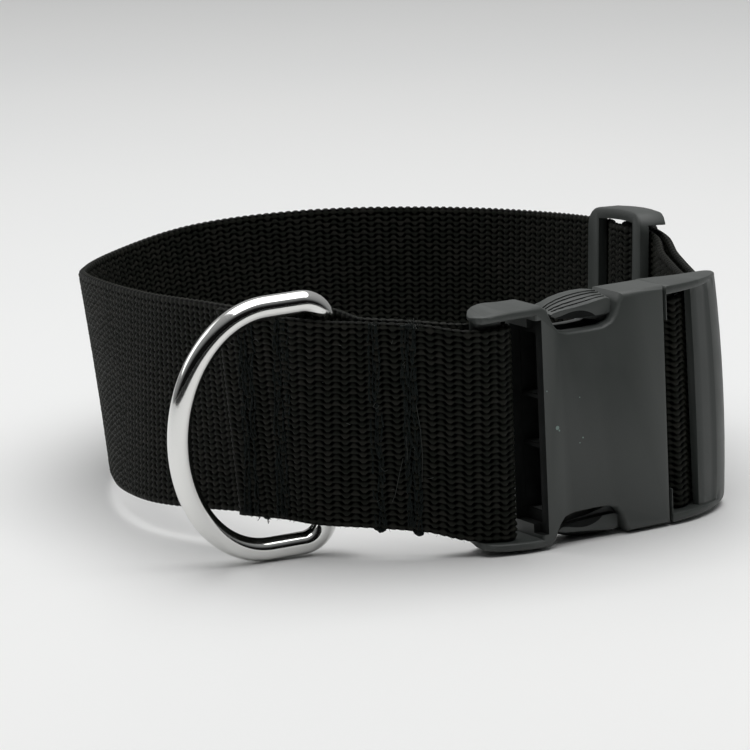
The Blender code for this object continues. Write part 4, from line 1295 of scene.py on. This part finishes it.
# Camera, lights and floor
def camera():
    data = bpy.data.cameras.new("photo_camera")
    data.sensor_width = SENSOR
    data.lens = CAMERA_FOCAL_PX * SENSOR / IMAGE_WIDTH
    data.clip_start = CLIP_NEAR
    data.clip_end = CLIP_FAR
    obj = new_object("photo_camera", data)
    right = Vector((1.0, 0.0, 0.0))
    up = Vector((0.0, math.sin(CAMERA_PITCH), math.cos(CAMERA_PITCH)))
    ahead = Vector((0.0, math.cos(CAMERA_PITCH), -math.sin(CAMERA_PITCH)))
    cam_right = right * math.cos(CAMERA_ROLL) - up * math.sin(CAMERA_ROLL)
    cam_up = right * math.sin(CAMERA_ROLL) + up * math.cos(CAMERA_ROLL)
    turn_matrix = Matrix((cam_right, cam_up, -ahead)).transposed()
    obj.matrix_world = Matrix.Translation(CAMERA_SPOT) @ turn_matrix.to_4x4()
    bpy.context.scene.camera = obj


def area_light(name, spot, target, size, power):
    data = bpy.data.lights.new(name, "AREA")
    data.shape = "RECTANGLE"
    data.size, data.size_y = size
    data.energy = power
    obj = new_object(name, data)
    obj.location = spot
    obj.rotation_euler = (Vector(target) - Vector(spot)).to_track_quat("-Z", "Y").to_euler()


def surroundings():
    world = bpy.data.worlds.new("studio")
    bpy.context.scene.world = world
    world.use_nodes = True
    tree = world.node_tree
    back = tree.nodes["Background"]
    # Darker room on the camera's side, pale studio behind and above the collar
    where = add_node(tree, "ShaderNodeTexCoord").outputs["Generated"]
    split = tree.nodes.new("ShaderNodeSeparateXYZ")
    tree.links.new(where, split.inputs["Vector"])
    behind = calc(tree, "MULTIPLY", split.outputs["Y"], 0.30)
    above = calc(tree, "MULTIPLY", split.outputs["Z"], 0.38)
    sky = calc(tree, "ADD", calc(tree, "ADD", behind, above), 0.5)
    tone = ramp(
        tree,
        sky,
        ((0.0, grey(0.008)), (0.44, grey(0.012)), (0.60, (0.50, 0.51, 0.51)), (1.0, (1.0, 1.0, 0.99))),
    )
    tree.links.new(tone, back.inputs["Color"])
    back.inputs["Strength"].default_value = WORLD_STRENGTH


def level_sheet(name, low, high, height, mat):
    corners = (low, (high[0], low[1]), high, (low[0], high[1]))
    mesh = bpy.data.meshes.new(name)
    mesh.from_pydata([(x, y, height) for x, y in corners], [], [(0, 1, 2, 3)])
    mesh.materials.append(mat)
    return new_object(name, mesh)


def floor():
    low = (-FLOOR_REACH, -FLOOR_REACH)
    high = (FLOOR_REACH, FLOOR_REACH)
    obj = level_sheet("floor", low, high, 0.0, floor_material())


def dark_card():
    # Painted reflection: a dark card that only glossy rays see, so bright metal mirrors dark in front of
    # the collar while the camera and diffuse light still see the white floor
    mat = new_material("dark_card", (0.01, 0.01, 0.01), 0.9)[0]
    obj = level_sheet("dark_card", (-CARD_SIDE, CARD_FAR), (CARD_SIDE, CARD_EDGE), CARD_HEIGHT, mat)
    obj.visible_camera = False
    obj.visible_diffuse = False
    obj.visible_shadow = False


bpy.context.scene.view_settings.view_transform = "Standard"
camera()
surroundings()
floor()
dark_card()
area_light("top_softbox", (0.05, 0.02, 0.95), (0.0, 0.0, 0.0), (1.3, 0.95), TOP_POWER)
area_light("left_softbox", (-1.2, 0.5, 0.7), (0.0, 0.0, 0.03), (0.8, 0.8), LEFT_POWER)

webbing()
acetal = acetal_material()
painted_shade = painted_shade_material()
female_shell(acetal, painted_shade)
prong_grooves(painted_shade)
prong_scoop_painted_shade(painted_shade)
specks()
moulded("buckle_male", "male_shell", (acetal,))
moulded("slider", "slider_frame", (acetal,))
ring_piece()
sewing()
